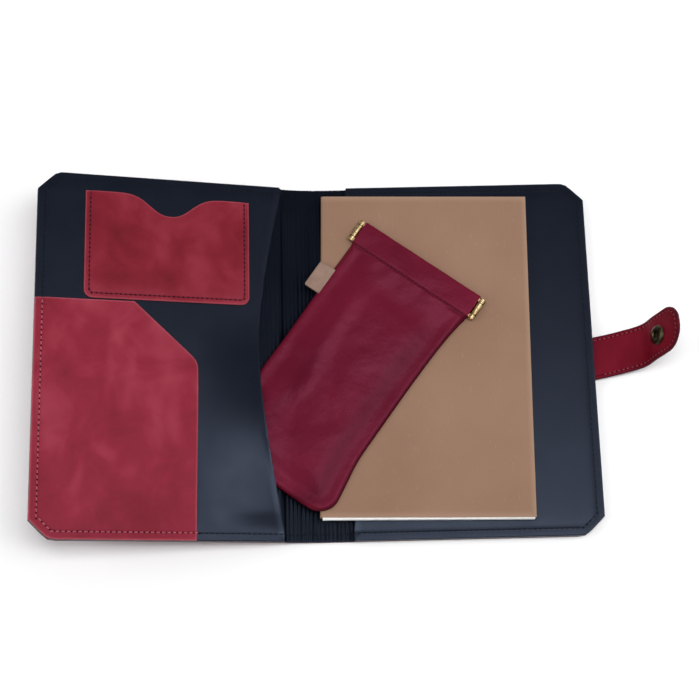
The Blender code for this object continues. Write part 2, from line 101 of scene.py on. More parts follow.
# pockets
POCKET_UNDERSIDE = 7.2
POCKET_TOP = 9.0
CARD_STITCH_INSET = 3.1
CARD_STITCH_PITCH = 3.0
CARD_RADIUS = 5.5
STITCH_SINK = 0.2

# strap
STRAP_WIDTH = 27.5
STRAP_Y = -2.4
STRAP_LEAN = math.radians(10.5)
STRAP_THICK = 2.0
STRAP_FOLDS = (157.6, 170.6, 186.65)
STRAP_Z = 3.8
STRAP_ZONES = ((155.9, 164.1), (164.1, 178.6), (178.6, 194.7))
STRAP_BENDS = (6.0, 14.0, 42.0)
STRAP_CURVE = ((152.0, 169.0), (160.0, 184.0), (174.5, 198.8))
STRAP_START = 142.0
STRAP_END = 222.6
STRAP_TIP_RADIUS = 11.5
STRAP_EDGE = (0.0, 0.08, 0.25, 0.6, 1.2, 1.7, 2.0, 2.3, 2.6, 2.9, 3.6)
STRAP_STITCH_INSET = 2.3
STRAP_STITCH_PITCH = 2.9
SNAP_X = 203.65

# notebook
BOOK_CENTRE = (48.4, 1.5)
BOOK_TURN = math.radians(-1.3)
BOOK_WIDTH = 133.0
BOOK_HEIGHT = 210.0
BOOK_CARD = 0.45
BOOK_LEVELS = (5.95, 12.85)
PAGES = (7.9, 12.3)
LEAVES = 20

# pen pouch: s across its mouth, t down its length; TUCK_X is where it goes under the front panel
POUCH_CORNER = (13.4, 87.9)
POUCH_TURN = math.radians(36.0)
POUCH_WIDTH = 88.0
POUCH_LENGTH = 173.0
POUCH_RADIUS = 14.0
POUCH_BOTTOM = 13.4
BAND = 16.5
TUCK_X = -59.5
POUCH_WAIST = 4.6
MOUTH_DEPTH = 12.0
CLOTH_FRAMES = 20
CLOTH_SMOOTHING = 8
CLOTH_FULLNESS = 0.003
CLOTH_PRESSURE = 0.15
CLOTH_CAP = 0.45
SEAM_STEPS = (0.0, 0.1, 0.35, 0.8, 1.5, 2.3, 3.2, 4.2, 5.4, 7.0, 9.0)


# ---------------------------------------------------------------- placing


def smooth(t):
    t = np.clip(t, 0.0, 1.0)
    return t * t * (3 - 2 * t)


def hill(value, middle, width):
    return np.exp(-(((value - middle) / width) ** 2))


def bent(points, places, zones, hinge_z, sense):
    """Turns points about each hinge line along Y by its angle, gradually across its zone.

    places are the hinges' X, zones (start, end, degrees). The turns add up from the first on.
    """
    laid = np.array(points, float)
    for x, (start, end, degrees) in reversed(list(zip(places, zones))):
        share = smooth((points[:, 0] - start) / (end - start))
        angle = share * math.radians(degrees) * sense
        dx = laid[:, 0] - x
        dz = laid[:, 2] - hinge_z
        laid[:, 0] = x + dx * np.cos(angle) + dz * np.sin(angle)
        laid[:, 2] = hinge_z - dx * np.sin(angle) + dz * np.cos(angle)
    return laid


def fold_x(number):
    return FIRST_FOLD_X - number * STRIP


def fold_zone(number):
    return fold_x(number) + STRIP / 2, fold_x(number) - STRIP / 2


def lay_case(points):
    """Flat case leather as it lies at rest, the front cover raised by the spine's folds."""
    places = [fold_x(k) for k in range(5)]
    zones = [(*fold_zone(k), FOLD_BENDS[k]) for k in range(5)]
    return bent(points, places, zones, FOLD_Z, 1)


def lay_strap(points):
    """The strap as it hangs at rest, down over the edge and curling at its end."""
    zones = [(*zone, bend) for zone, bend in zip(STRAP_CURVE, STRAP_BENDS)]
    return bent(points, STRAP_FOLDS, zones, STRAP_Z, -1)


def lay_book(points):
    laid = np.array(points, float)
    c, s = math.cos(BOOK_TURN), math.sin(BOOK_TURN)
    laid[:, 0] = BOOK_CENTRE[0] + c * points[:, 0] - s * points[:, 1]
    laid[:, 1] = BOOK_CENTRE[1] + s * points[:, 0] + c * points[:, 1]
    return laid


def pouch_plan(s, t):
    x = POUCH_CORNER[0] + s * math.cos(POUCH_TURN) - t * math.sin(POUCH_TURN)
    y = POUCH_CORNER[1] - s * math.sin(POUCH_TURN) - t * math.cos(POUCH_TURN)
    return x, y


def pouch_rise(x):
    """The pouch sags off the notebook's edge, then rises with the front cover's slope."""
    sag = -1.8 * hill(x, -40.0, 12.0)
    slope = math.tan(math.radians(sum(FOLD_BENDS)))
    return sag + 4.0 * slope * np.log1p(np.exp((TUCK_X - x) / 4.0))


def lay_pouch(points):
    laid = np.array(points, float)
    laid[:, 0], laid[:, 1] = pouch_plan(points[:, 0], points[:, 1])
    laid[:, 2] += pouch_rise(laid[:, 0])
    return laid


# ---------------------------------------------------------------- meshes


def add_piece(name, points, faces, material, lay=None, edge=None, painted_shade=None, smoothed=True):
    """An object from flat points; it remembers their flat place, an edge mask (wear, and on black leather a
    painted highlight) and a painted shade mask for grooves and hollows.
    """
    points = np.asarray(points, float)
    laid = lay(points) if lay else points
    mesh = bpy.data.meshes.new(name)
    world = (laid - (ORIGIN_X, 0, 0)) * MM
    mesh.from_pydata(world.tolist(), [], faces)
    bm = bmesh.new()
    bm.from_mesh(mesh)
    bmesh.ops.recalc_face_normals(bm, faces=bm.faces[:])
    bm.to_mesh(mesh)
    bm.free()
    mesh.attributes.new("flat", "FLOAT_VECTOR", "POINT").data.foreach_set("vector", (points * MM).ravel())
    for label, values in (("edge", edge), ("painted_shade", painted_shade)):
        if values is None:
            values = np.zeros(len(points))
        mesh.attributes.new(label, "FLOAT", "POINT").data.foreach_set("value", np.ravel(values))
    mesh.materials.append(material)
    if smoothed:
        mesh.shade_smooth()
        mesh.set_sharp_from_angle(angle=math.radians(50))
    piece = bpy.data.objects.new(name, mesh)
    bpy.context.scene.collection.objects.link(piece)
    return piece


def grid_quads(rows, columns, first=0):
    index = np.arange(rows * columns).reshape(rows, columns) + first
    quads = np.stack([index[:-1, :-1], index[:-1, 1:], index[1:, 1:], index[1:, :-1]], -1)
    return quads.reshape(-1, 4).tolist()


def sheet_faces(rows, columns):
    """Faces of a closed sheet whose two sides are equal grids, one after the other."""
    count = rows * columns
    faces = grid_quads(rows, columns)
    faces += [face[::-1] for face in grid_quads(rows, columns, count)]
    index = np.arange(count).reshape(rows, columns)
    rim = [*index[0, :-1], *index[:-1, -1], *index[-1, :0:-1], *index[:0:-1, 0]]
    for a, b in zip(rim, rim[1:] + rim[:1]):
        faces.append([int(b), int(a), int(a) + count, int(b) + count])
    return faces


def slab(plan, low, high):
    """A closed sheet over a grid of plan points: its points and faces."""
    top = np.dstack([plan, high]).reshape(-1, 3)
    bottom = np.dstack([plan, low]).reshape(-1, 3)
    return np.concatenate([top, bottom]), sheet_faces(*plan.shape[:2])


def distance(plan, path):
    """Distance from each plan point to a line through the points of path."""
    points = plan.reshape(-1, 1, 2)
    path = np.asarray(path, float)
    a, d = path[:-1], path[1:] - path[:-1]
    length = np.maximum((d**2).sum(1), 1e-9)
    along = np.clip(((points - a) * d).sum(2) / length, 0, 1)
    apart = points - (a + along[..., None] * d)
    return np.sqrt((apart**2).sum(2)).min(1).reshape(plan.shape[:2])


def round_drop(depth, radius):
    """How far a rounded edge falls away at a distance in from it."""
    inward = np.clip(radius - depth, 0.0, radius)
    return radius - np.sqrt(radius**2 - inward**2)


def spaced(low, high, step):
    count = max(1, round(abs(high - low) / step))
    return list(np.linspace(low, high, count + 1))


EDGE_STEPS = (0.0, 0.08, 0.3, 0.7, 1.5, 3.3, 3.7, 4.1, 4.35, 4.6, 4.85, 5.1, 5.9, 6.7, 7.1)
FREE_STEPS = (0.0, 0.06, 0.2, 0.5, 1.2)


def half_height(u):
    """Half the cover's height at u from the spine, narrower where its corner is cut."""
    over = u - (COVER_LENGTH - CORNER_CUT)
    return HALF - 1.2 * np.log1p(np.exp(np.clip(over / 1.2, -40, 40)))


def row_marks(step, steps=EDGE_STEPS, extra=()):
    """Rows of a cover's grid: (share, inset), from the bottom edge to the top edge."""
    last = steps[-1]
    marks = [(-1.0, inset) for inset in steps]
    inner = sorted(spaced(-1.0, 1.0, step / (HALF - last))[1:-1] + [y / (HALF - last) for y in extra])
    marks += [(share, last) for share in inner]
    return marks + [(1.0, inset) for inset in reversed(steps)]


def cover_grid(columns, marks, near=None):
    """Plan grid of a cover in (u, y). columns are (kind, value): an inset from the near or the
    far side, or a share of the way between them. near gives the near side's u at each y."""
    share = np.array([mark[0] for mark in marks])[:, None]
    inset = np.array([mark[1] for mark in marks])[:, None]
    start = near(share * HALF) if near else np.full_like(share, columns[0][1])
    last_near = max([value for kind, value in columns if kind == "near"], default=0.0)
    last_far = max([value for kind, value in columns if kind == "far"], default=0.0)
    grid = []
    for kind, value in columns:
        if kind == "near":
            u = start + value
        elif kind == "far":
            u = np.full_like(start, COVER_LENGTH - value)
        elif kind == "at":
            u = np.full_like(start, value)
        else:
            low, high = start + last_near, COVER_LENGTH - last_far
            u = low + value * (high - low)
        grid.append(u)
    u = np.concatenate(grid, 1)
    slant = smooth((u - (COVER_LENGTH - CORNER_CUT) + 1.5) / 3.0)
    y = share * (half_height(u) - inset * (1 + slant * (math.sqrt(2) - 1)))
    return np.dstack([u, y])


def to_flat(plan, side):
    """Plan points of a cover in the flat case: side is 1 for the back, -1 for the front."""
    flat = plan.copy()
    if side < 0:
        flat[..., 0] = -SPINE_WIDTH - plan[..., 0]
    return flat


def cover_edge(inset, start):
    """The cover's outer edge in (u, y), set in, from the spine round to the spine."""
    far = COVER_LENGTH - inset
    cut = CORNER_CUT - inset * (2 - math.sqrt(2))
    half = HALF - inset
    upper = [(start, half), (far - cut, half), (far, half - cut)]
    return np.array(upper + [(u, -y) for u, y in reversed(upper)])


# ---------------------------------------------------------------- materials


class Graph:
    """A material's nodes, with the flat place of the leather as its coordinates."""

    def __init__(self, name, carried=False):
        self.material = bpy.data.materials.new(name)
        self.material.use_nodes = True
        self.tree = self.material.node_tree
        self.shader = self.tree.nodes["Principled BSDF"]
        if carried:
            self.place = self.add("ShaderNodeTexCoord").outputs["Object"]
        else:
            self.place = self.attribute("flat").outputs["Vector"]

    def add(self, kind, **settings):
        node = self.tree.nodes.new(kind)
        for key, value in settings.items():
            setattr(node, key, value)
        return node

    def attribute(self, name):
        return self.add("ShaderNodeAttribute", attribute_name=name, attribute_type="GEOMETRY")

    def link(self, output, target):
        self.tree.links.new(output, target)

    def feed(self, node, values):
        for key, value in values.items():
            if isinstance(value, bpy.types.NodeSocket):
                self.link(value, node.inputs[key])
            else:
                node.inputs[key].default_value = value

    def math(self, operation, a, b=0.0):
        node = self.add("ShaderNodeMath", operation=operation)
        self.feed(node, {0: a, 1: b})
        return node.outputs[0]

    def stretched(self, scale, turn=0.0):
        node = self.add("ShaderNodeMapping")
        self.link(self.place, node.inputs["Vector"])
        node.inputs["Scale"].default_value = scale
        node.inputs["Rotation"].default_value = (0, 0, turn)
        return node.outputs["Vector"]

    def noise(self, scale, detail=2.0, rough=0.5, warp=0.0, place=None):
        node = self.add("ShaderNodeTexNoise")
        self.link(place or self.place, node.inputs["Vector"])
        self.feed(node, {"Scale": scale, "Detail": detail, "Roughness": rough, "Distortion": warp})
        return node.outputs["Fac"]

    def cells(self, scale, feature="F1", place=None):
        node = self.add("ShaderNodeTexVoronoi", feature=feature)
        self.link(place or self.place, node.inputs["Vector"])
        node.inputs["Scale"].default_value = scale
        return node.outputs["Distance"]

    def ramp(self, value, stops):
        """stops are (position, colour or grey level)."""
        node = self.add("ShaderNodeValToRGB")
        self.link(value, node.inputs["Fac"])
        elements = node.color_ramp.elements
        while len(elements) < len(stops):
            elements.new(0.5)
        for element, (position, level) in zip(elements, stops):
            element.position = position
            element.color = (*level, 1.0) if isinstance(level, tuple) else (level, level, level, 1.0)
        return node.outputs["Color"]

    def mix(self, share, a, b, blend="MIX"):
        node = self.add("ShaderNodeMix", data_type="RGBA", blend_type=blend)
        self.feed(node, {0: share})
        for socket, value in ((6, a), (7, b)):
            if isinstance(value, bpy.types.NodeSocket):
                self.link(value, node.inputs[socket])
            else:
                node.inputs[socket].default_value = (*value, 1.0)
        return node.outputs[2]

    def level(self, value, low, high):
        """value from 0..1 stretched to low..high."""
        node = self.add("ShaderNodeMapRange")
        self.feed(node, {0: value, 3: low, 4: high})
        return node.outputs[0]

    def bump(self, height, metres, before=None):
        node = self.add("ShaderNodeBump")
        self.feed(node, {"Height": height, "Distance": metres, "Strength": 1.0})
        if before is not None:
            self.link(before, node.inputs["Normal"])
        return node.outputs["Normal"]

    def finish(self, colour, roughness, normal=None, **plain):
        self.link(colour, self.shader.inputs["Base Color"])
        if isinstance(roughness, bpy.types.NodeSocket):
            self.link(roughness, self.shader.inputs["Roughness"])
        else:
            self.shader.inputs["Roughness"].default_value = roughness
        if normal is not None:
            self.link(normal, self.shader.inputs["Normal"])
        for key, value in plain.items():
            plain_value = (*value, 1.0) if isinstance(value, tuple) else value
            self.shader.inputs[key.replace("_", " ")].default_value = plain_value
        return self.material


# dyed finishes tint their own gloss
RED_GLOSS = (1.0, 0.58, 0.7)
STRAP_GLOSS = (1.0, 0.25, 0.45)
BLACK_GLOSS = (0.52, 0.62, 0.86)
BURGUNDY_GLOSS = (1.0, 0.3, 0.5)


def leather_grain(graph, cell_scale, depth):
    """Fine pores and pebbled cells of a smooth hide."""
    cells = graph.cells(cell_scale, "SMOOTH_F1")
    pores = graph.noise(cell_scale * 3.0, 2.0, 0.6)
    height = graph.math("ADD", cells, graph.math("MULTIPLY", pores, 0.5))
    return graph.bump(height, depth)


def red_leather(name, dark, middle, light, edge_colour, edge_share=0.7, gloss=RED_GLOSS):
    """Waxed pull-up leather: cloudy where it has been bent and rubbed, paler on scuffs."""
    g = Graph(name)
    clouds = g.noise(42.0, 3.0, 0.5, 0.5)
    drawn = g.noise(36.0, 2.0, 0.5, 0.3, g.stretched((1.0, 0.55, 1.0), 0.3))
    tone = g.math("MULTIPLY", g.math("ADD", clouds, drawn), 0.5)
    colour = g.ramp(tone, [(0.35, dark), (0.5, middle), (0.66, light)])
    fibres = g.noise(420.0, 3.0, 0.65)
    colour = g.mix(g.level(fibres, 0.0, 0.16), colour, light)
    scuffs = g.ramp(g.noise(70.0, 4.0, 0.65, 0.8), [(0.6, 0.0), (0.74, 1.0)])
    colour = g.mix(g.math("MULTIPLY", scuffs, 0.18), colour, light)
    # painted shade: stitch grooves mixed towards a darker red
    shade_mask = g.attribute("painted_shade").outputs["Fac"]
    colour = g.mix(g.math("MULTIPLY", shade_mask, 0.6), colour, tuple(0.35 * part for part in dark))
    edge_mask = g.attribute("edge").outputs["Fac"]
    edge_strength = g.level(g.noise(260.0, 2.0), 0.6, 1.1)
    colour = g.mix(g.math("MULTIPLY", g.math("MULTIPLY", edge_mask, edge_strength), edge_share), colour, edge_colour)
    roughness = g.level(clouds, 0.42, 0.62)
    grain = leather_grain(g, 1500.0, 0.00006)
    return g.finish(colour, roughness, grain, Specular_IOR_Level=0.18, Specular_Tint=gloss)


def black_leather(name, gloss, shade=1.0):
    """Smooth dyed lining leather with a soft bluish sheen."""
    g = Graph(name)
    clouds = g.noise(26.0, 3.0, 0.5, 0.4)
    deep = tuple(shade * part for part in (0.0016, 0.0026, 0.0062))
    pale = tuple(shade * part for part in (0.003, 0.0044, 0.0095))
    colour = g.ramp(clouds, [(0.3, deep), (0.7, pale)])
    fibres = g.noise(600.0, 3.0, 0.65)
    colour = g.mix(g.level(fibres, 0.0, 0.06), colour, (0.016, 0.02, 0.032))
    # edges paler and bluish: rubbing, and a painted highlight along the rounded edge
    edge_mask = g.attribute("edge").outputs["Fac"]
    colour = g.mix(g.math("MULTIPLY", edge_mask, 0.55), colour, (0.035, 0.043, 0.064))
    # painted shade in grooves, mixed towards near black
    shade_mask = g.attribute("painted_shade").outputs["Fac"]
    colour = g.mix(g.math("MULTIPLY", shade_mask, 0.5), colour, (0.002, 0.002, 0.003))
    roughness = g.level(g.noise(90.0, 4.0, 0.6), 0.29, 0.4)
    grain = leather_grain(g, 1900.0, 0.00003)
    return g.finish(colour, roughness, grain, Specular_IOR_Level=gloss, Specular_Tint=BLACK_GLOSS)


def burgundy_leather(name):
    """Soft garment leather of the pouch."""
    g = Graph(name)
    clouds = g.noise(20.0, 3.0, 0.5, 0.5)
    colour = g.ramp(clouds, [(0.3, (0.084, 0.0026, 0.0118)), (0.7, (0.112, 0.0044, 0.0168))])
    fibres = g.noise(700.0, 3.0, 0.6)
    colour = g.mix(g.level(fibres, 0.0, 0.1), colour, (0.2, 0.03, 0.055))
    edge_mask = g.attribute("edge").outputs["Fac"]
    colour = g.mix(g.math("MULTIPLY", edge_mask, 0.55), colour, (0.16, 0.006, 0.014))
    # painted shade along the hem, in the hollows and at the rim that turns under
    shade_mask = g.attribute("painted_shade").outputs["Fac"]
    colour = g.mix(g.math("MULTIPLY", shade_mask, 0.7), colour, (0.035, 0.002, 0.006))
    fine = leather_grain(g, 1700.0, 0.00004)
    soft = g.bump(g.noise(160.0, 3.0, 0.5), 0.0004, fine)
    roughness = g.level(clouds, 0.34, 0.44)
    return g.finish(colour, roughness, soft, Specular_IOR_Level=0.2, Specular_Tint=BURGUNDY_GLOSS)


def suede(name):
    """Undyed leather, flesh side out: short fibres and specks."""
    g = Graph(name)
    nap = g.noise(900.0, 4.0, 0.7)
    patches = g.noise(120.0, 3.0, 0.6)
    colour = g.ramp(patches, [(0.3, (0.2, 0.122, 0.094)), (0.7, (0.275, 0.176, 0.137))])
    colour = g.mix(g.level(nap, 0.0, 0.35), colour, (0.37, 0.26, 0.21))
    edge_mask = g.attribute("edge").outputs["Fac"]
    colour = g.mix(g.math("MULTIPLY", edge_mask, 0.5), colour, (0.12, 0.07, 0.05))
    return g.finish(colour, 0.9, g.bump(nap, 0.0002), Specular_IOR_Level=0.15)


def kraft_card(name):
    """Recycled kraft card: soft clouds, short pale and dark fibres."""
    g = Graph(name)
    clouds = g.noise(16.0, 3.0, 0.5)
    colour = g.ramp(clouds, [(0.3, (0.242, 0.138, 0.087)), (0.7, (0.277, 0.163, 0.107))])
    lengthways, crossways = g.stretched((1.0, 0.25, 1.0), 0.6), g.stretched((0.3, 1.0, 1.0), 0.2)
    pale = g.ramp(g.noise(900.0, 2.0, 0.6, 0.8, lengthways), [(0.62, 0.0), (0.72, 1.0)])
    dark = g.ramp(g.noise(800.0, 2.0, 0.6, 0.8, crossways), [(0.66, 0.0), (0.76, 1.0)])
    colour = g.mix(g.math("MULTIPLY", pale, 0.14), colour, (0.45, 0.31, 0.22))
    colour = g.mix(g.math("MULTIPLY", dark, 0.14), colour, (0.16, 0.085, 0.05))
    edge_mask = g.attribute("edge").outputs["Fac"]
    colour = g.mix(g.math("MULTIPLY", edge_mask, 0.4), colour, (0.4, 0.27, 0.19))
    normal = g.bump(g.noise(1500.0, 3.0, 0.6), 0.00003)
    return g.finish(colour, 0.82, normal, Specular_IOR_Level=0.25)


def paper(name):
    g = Graph(name)
    tone = g.noise(300.0, 3.0, 0.6, 0.0, g.stretched((1.0, 1.0, 12.0)))
    colour = g.ramp(tone, [(0.3, (0.8, 0.79, 0.76)), (0.7, (0.9, 0.895, 0.88))])
    return g.finish(colour, 0.9, g.bump(g.noise(2500.0), 0.00002), Specular_IOR_Level=0.2)


def grey_board(name):
    g = Graph(name, carried=True)
    flecks = g.noise(900.0, 4.0, 0.7)
    colour = g.ramp(flecks, [(0.35, (0.22, 0.2, 0.17)), (0.7, (0.38, 0.35, 0.3))])
    return g.finish(colour, 0.92, g.bump(flecks, 0.0001), Specular_IOR_Level=0.2)


def brass(name, dark, light, roughness, scratch_depth):
    """Plated metal with fine rub marks and a little tarnish."""
    g = Graph(name, carried=True)
    tarnish = g.noise(220.0, 4.0, 0.6, 0.8)
    colour = g.ramp(tarnish, [(0.35, dark), (0.62, light)])
    rub = g.noise(1800.0, 3.0, 0.7, 0.0, g.stretched((1.0, 0.08, 1.0), POUCH_TURN))
    wornness = g.math("ADD", g.math("MULTIPLY", tarnish, 0.6), g.math("MULTIPLY", rub, 0.4))
    rough = g.level(wornness, *roughness)
    return g.finish(colour, rough, g.bump(rub, scratch_depth), Metallic=1.0)


def thread_fibre(name, colour, light, roughness=0.6, gloss=0.3):
    """Waxed, twisted thread."""
    g = Graph(name)
    twist = g.add("ShaderNodeTexWave", wave_type="BANDS", bands_direction="DIAGONAL")
    g.link(g.place, twist.inputs["Vector"])
    g.feed(twist, {"Scale": 900.0, "Distortion": 1.5})
    shade = g.mix(twist.outputs["Fac"], colour, light)
    return g.finish(shade, roughness, g.bump(twist.outputs["Fac"], 0.00008), Specular_IOR_Level=gloss)


def make_materials():
    red_dark, red_middle, red_light = (0.15, 0.0048, 0.0125), (0.212, 0.0105, 0.0255), (0.29, 0.032, 0.054)
    strap_reds = (0.094, 0.002, 0.0065), (0.121, 0.0032, 0.009), (0.162, 0.007, 0.016)
    # the card pocket: a darker copy of the red leather, painted shade
    card_shaded_reds = (0.121, 0.0032, 0.0085), (0.175, 0.0072, 0.0175), (0.245, 0.022, 0.038)
    return {
        "red": red_leather("red_pull_up_leather", red_dark, red_middle, red_light, (0.5, 0.11, 0.14), 0.8),
        "card": red_leather("red_card_leather_painted_shade", *card_shaded_reds, (0.42, 0.08, 0.1), 0.8),
        "outer": red_leather("red_outer_leather", red_dark, red_middle, red_light, (0.06, 0.006, 0.01), 0.9),
        "strap": red_leather("red_strap_leather", *strap_reds, (0.03, 0.004, 0.007), 0.9, STRAP_GLOSS),
        "black": black_leather("black_lining_leather", 0.24),
        "ribbed": black_leather("black_ribbed_lining", 0.1, 0.7),
        "burgundy": burgundy_leather("burgundy_pouch_leather"),
        "suede": suede("natural_suede"),
        "kraft": kraft_card("kraft_card"),
        "paper": paper("page_paper"),
        "board": grey_board("grey_board"),
        "brass": brass("bright_brass", (0.2, 0.13, 0.05), (0.66, 0.5, 0.27), (0.24, 0.45), 0.00002),
        "antique": brass("antique_brass", (0.022, 0.017, 0.009), (0.1, 0.08, 0.045), (0.22, 0.42), 0.00003),
        "red_thread": thread_fibre("red_thread", (0.2, 0.02, 0.035), (0.5, 0.13, 0.17)),
        "strap_thread": thread_fibre("strap_thread", (0.12, 0.008, 0.018), (0.36, 0.07, 0.1)),
        "dark_red_thread": thread_fibre("dark_red_thread", (0.05, 0.003, 0.008), (0.12, 0.01, 0.02)),
        "black_thread": thread_fibre(
            "black_thread", (0.0008, 0.001, 0.0015), (0.004, 0.005, 0.007), 0.6, 0.1
        ),
        # not thread: near-black painted shade for each stitch hole
        "hole": thread_fibre("stitch_hole_shade", (0.012, 0.001, 0.002), (0.03, 0.002, 0.005), 0.9, 0.05),
    }


# ---------------------------------------------------------------- stitching


def along(path, spacing, start=None):
    """Points and directions at equal steps along a line of plan points."""
    path = np.asarray(path, float)
    steps = np.sqrt(((path[1:] - path[:-1]) ** 2).sum(1))
    reach = np.concatenate([[0.0], np.cumsum(steps)])
    count = int(reach[-1] // spacing)
    first = (reach[-1] - (count - 1) * spacing) / 2 if start is None else start
    found = []
    for k in range(count):
        s = first + k * spacing
        j = min(int(np.searchsorted(reach, s, "right")) - 1, len(steps) - 1)
        direction = (path[j + 1] - path[j]) / steps[j]
        found.append((path[j] + direction * (s - reach[j]), direction))
    return found


def capsule(centre, direction, up_height, length, width, height, sides=8, rings=5):
    """A rounded stitch lying along direction: its points and faces."""
    points = []
    faces = []
    across = np.array([-direction[1], direction[0]])
    for ring in range(rings + 1):
        angle = math.pi * ring / rings
        reach = -math.cos(angle) * length / 2
        size = max(math.sin(angle), 0.02) ** 0.6
        for side in range(sides):
            turn = 2 * math.pi * side / sides
            offset = direction * reach + across * math.cos(turn) * size * width / 2
            z = up_height + math.sin(turn) * size * height / 2
            points.append((centre[0] + offset[0], centre[1] + offset[1], z))
    for ring in range(rings):
        for side in range(sides):
            a = ring * sides + side
            b = ring * sides + (side + 1) % sides
            faces.append([a, b, b + sides, a + sides])
    faces.append(list(range(sides))[::-1])
    faces.append(list(range(rings * sides, (rings + 1) * sides)))
    return points, faces


def stitch_mesh(name, places, surface, material, lay, length=2.3, width=0.75, height=0.5, lean=0.12):
    """A row of stitches as one mesh; surface gives the leather's height under each."""
    points = []
    faces = []
    for number, (centre, direction) in enumerate(places):
        angle = lean + 0.03 * math.sin(number * 2.4)
        c, s = math.cos(angle), math.sin(angle)
        turned = np.array([direction[0] * c - direction[1] * s, direction[0] * s + direction[1] * c])
        z = surface(centre[0], centre[1]) + 0.05
        more, loops = capsule(centre, turned, z, length, width, height)
        faces += [[index + len(points) for index in loop] for loop in loops]
        points += more
    return add_piece(name, points, faces, material, lay)


def hole_shade_mesh(name, places, pitch, surface, made, lay):
    """Dark marks painted as the shade inside each awl hole that the stitches go down through, one after each
    stitch.
    """
    after = [(centre + direction * pitch / 2, direction) for centre, direction in places]
    return stitch_mesh(name, after, surface, made["hole"], lay, 1.25, 1.0, 0.42, 0.0)


# ---------------------------------------------------------------- case


def far_columns(step, near_steps, start):
    inner = spaced(0.0, 1.0, step / (COVER_LENGTH - start))[1:-1]
    columns = [("near", inset) for inset in near_steps]
    columns += [("share", share) for share in inner]
    return columns + [("far", inset) for inset in reversed(EDGE_STEPS)]


def edge_falloff(apart, reach=0.5):
    """Strength of a mark along an edge, fading within reach of it: rubbing, and also the painted highlight
    on black edges and the painted shade at the pouch's rim.
    """
    return hill(apart, 0.0, reach)


def both(values):
    """The same values for a slab's upper and lower points."""
    return np.concatenate([values.ravel(), values.ravel()])


def join_u():
    """Where a cover's rigid leather meets the first fold's zone, in u."""
    return fold_zone(0)[0]


def outer_heights(edge_apart):
    drop = round_drop(edge_apart, 0.7)
    return drop, OUTER_TOP - drop


def add_outer_leather(made):
    """The red outer leather: a piece on each cover and one over each fold of the spine."""
    start = join_u()
    marks = row_marks(5.0)
    for side, body, name in SIDES:
        columns = [("at", start)] + far_columns(5.0, (), start)
        plan = cover_grid(columns, marks)
        apart = distance(plan, cover_edge(0.0, start - 20))
        low, high = outer_heights(apart)
        points, faces = slab(to_flat(plan, side), low, high)
        edge = both(edge_falloff(apart, OUTER_WEAR))
        piece = add_piece(f"{name}_outer_skin", points, faces, made["outer"], lay_case, edge)
        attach(piece, body)
        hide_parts(f"{name}_outer_leather")
    ys = np.array([share * (HALF - inset) for share, inset in marks])
    for number in range(5):
        xs = np.linspace(*fold_zone(number), 13)
        plan = np.dstack(np.meshgrid(xs, ys))
        apart = HALF - np.abs(plan[..., 1])
        low, high = outer_heights(apart)
        points, faces = slab(plan, low, high)
        edge = both(edge_falloff(apart, OUTER_WEAR))
        name = f"spine_outer_skin_{number + 1}"
        piece = add_piece(name, points, faces, made["outer"], lay_case, edge)
        bend_over_fold(piece, number)
        if number < 4:
            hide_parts(f"spine_leather_{number + 1}")


def bend_over_fold(piece, number):
    """Lays the ends of one fold's zone as at rest, which nothing uses, and bakes the piece's place into its
    mesh.
    """
    ends = np.array([(fold_zone(number)[k], 0.0, FOLD_Z) for k in (0, 1)])
    start, end = lay_case(ends)
    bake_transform(piece)


def ribs(x):
    """Height of the lining's fine ribs, which die away under the sleeve panels."""
    wave = 0.5 + 0.5 * np.cos(2 * math.pi * (x - fold_x(0)) / RIB_PITCH + math.pi)
    inside = smooth((x + 66.0) / 4.0) * smooth((18.0 - x) / 4.0)
    return RIB_HEIGHT * wave**1.5 * inside


def ripple(x, y):
    """Loose folds in the spine's lining, deepest towards its top."""
    inside = smooth((x + 58.0) / 16.0) * smooth((8.0 - x) / 12.0)
    upper = 0.25 + 0.75 * smooth((y + 40.0) / 90.0)
    ends = smooth((HALF - np.abs(y)) / 14.0)
    drift = 3.0 * np.sin(y / 37.0) + 1.6 * np.sin(y / 15.0 + 1.0)
    wave = 0.5 + 0.5 * np.sin((x + drift) / 2.9)
    slow = 0.5 + 0.5 * np.sin(y / 24.0 + x / 9.0)
    return 0.8 * inside * upper * ends * wave * (0.35 + 0.65 * slow)


def lining_levels(u, x, y, apart):
    """Underside and top of the lining: thick at the cover's rim, thin over the board."""
    top = SPINE_LINING[1] + (LINING[1] - SPINE_LINING[1]) * smooth((u + 1.0) / 3.0)
    over_board = (apart > 3.5) & (u > BOARD_START - 0.4)
    strap_y = STRAP_Y - 0.9
    under_strap = (u > 141.0) & (np.abs(y - strap_y) < 14.6) & (x > 0)
    bottom = np.where(over_board | under_strap, LINING[0], SPINE_LINING[0])
    raised = ribs(x) + ripple(x, y)
    lifted = np.where(u < 2.0, ripple(x, y), 0.0)
    drop = round_drop(apart, 0.5)
    return bottom + lifted + drop * 0.5, top + raised - drop


def rib_columns(low, high):
    return spaced(low, high, RIB_PITCH / 6)


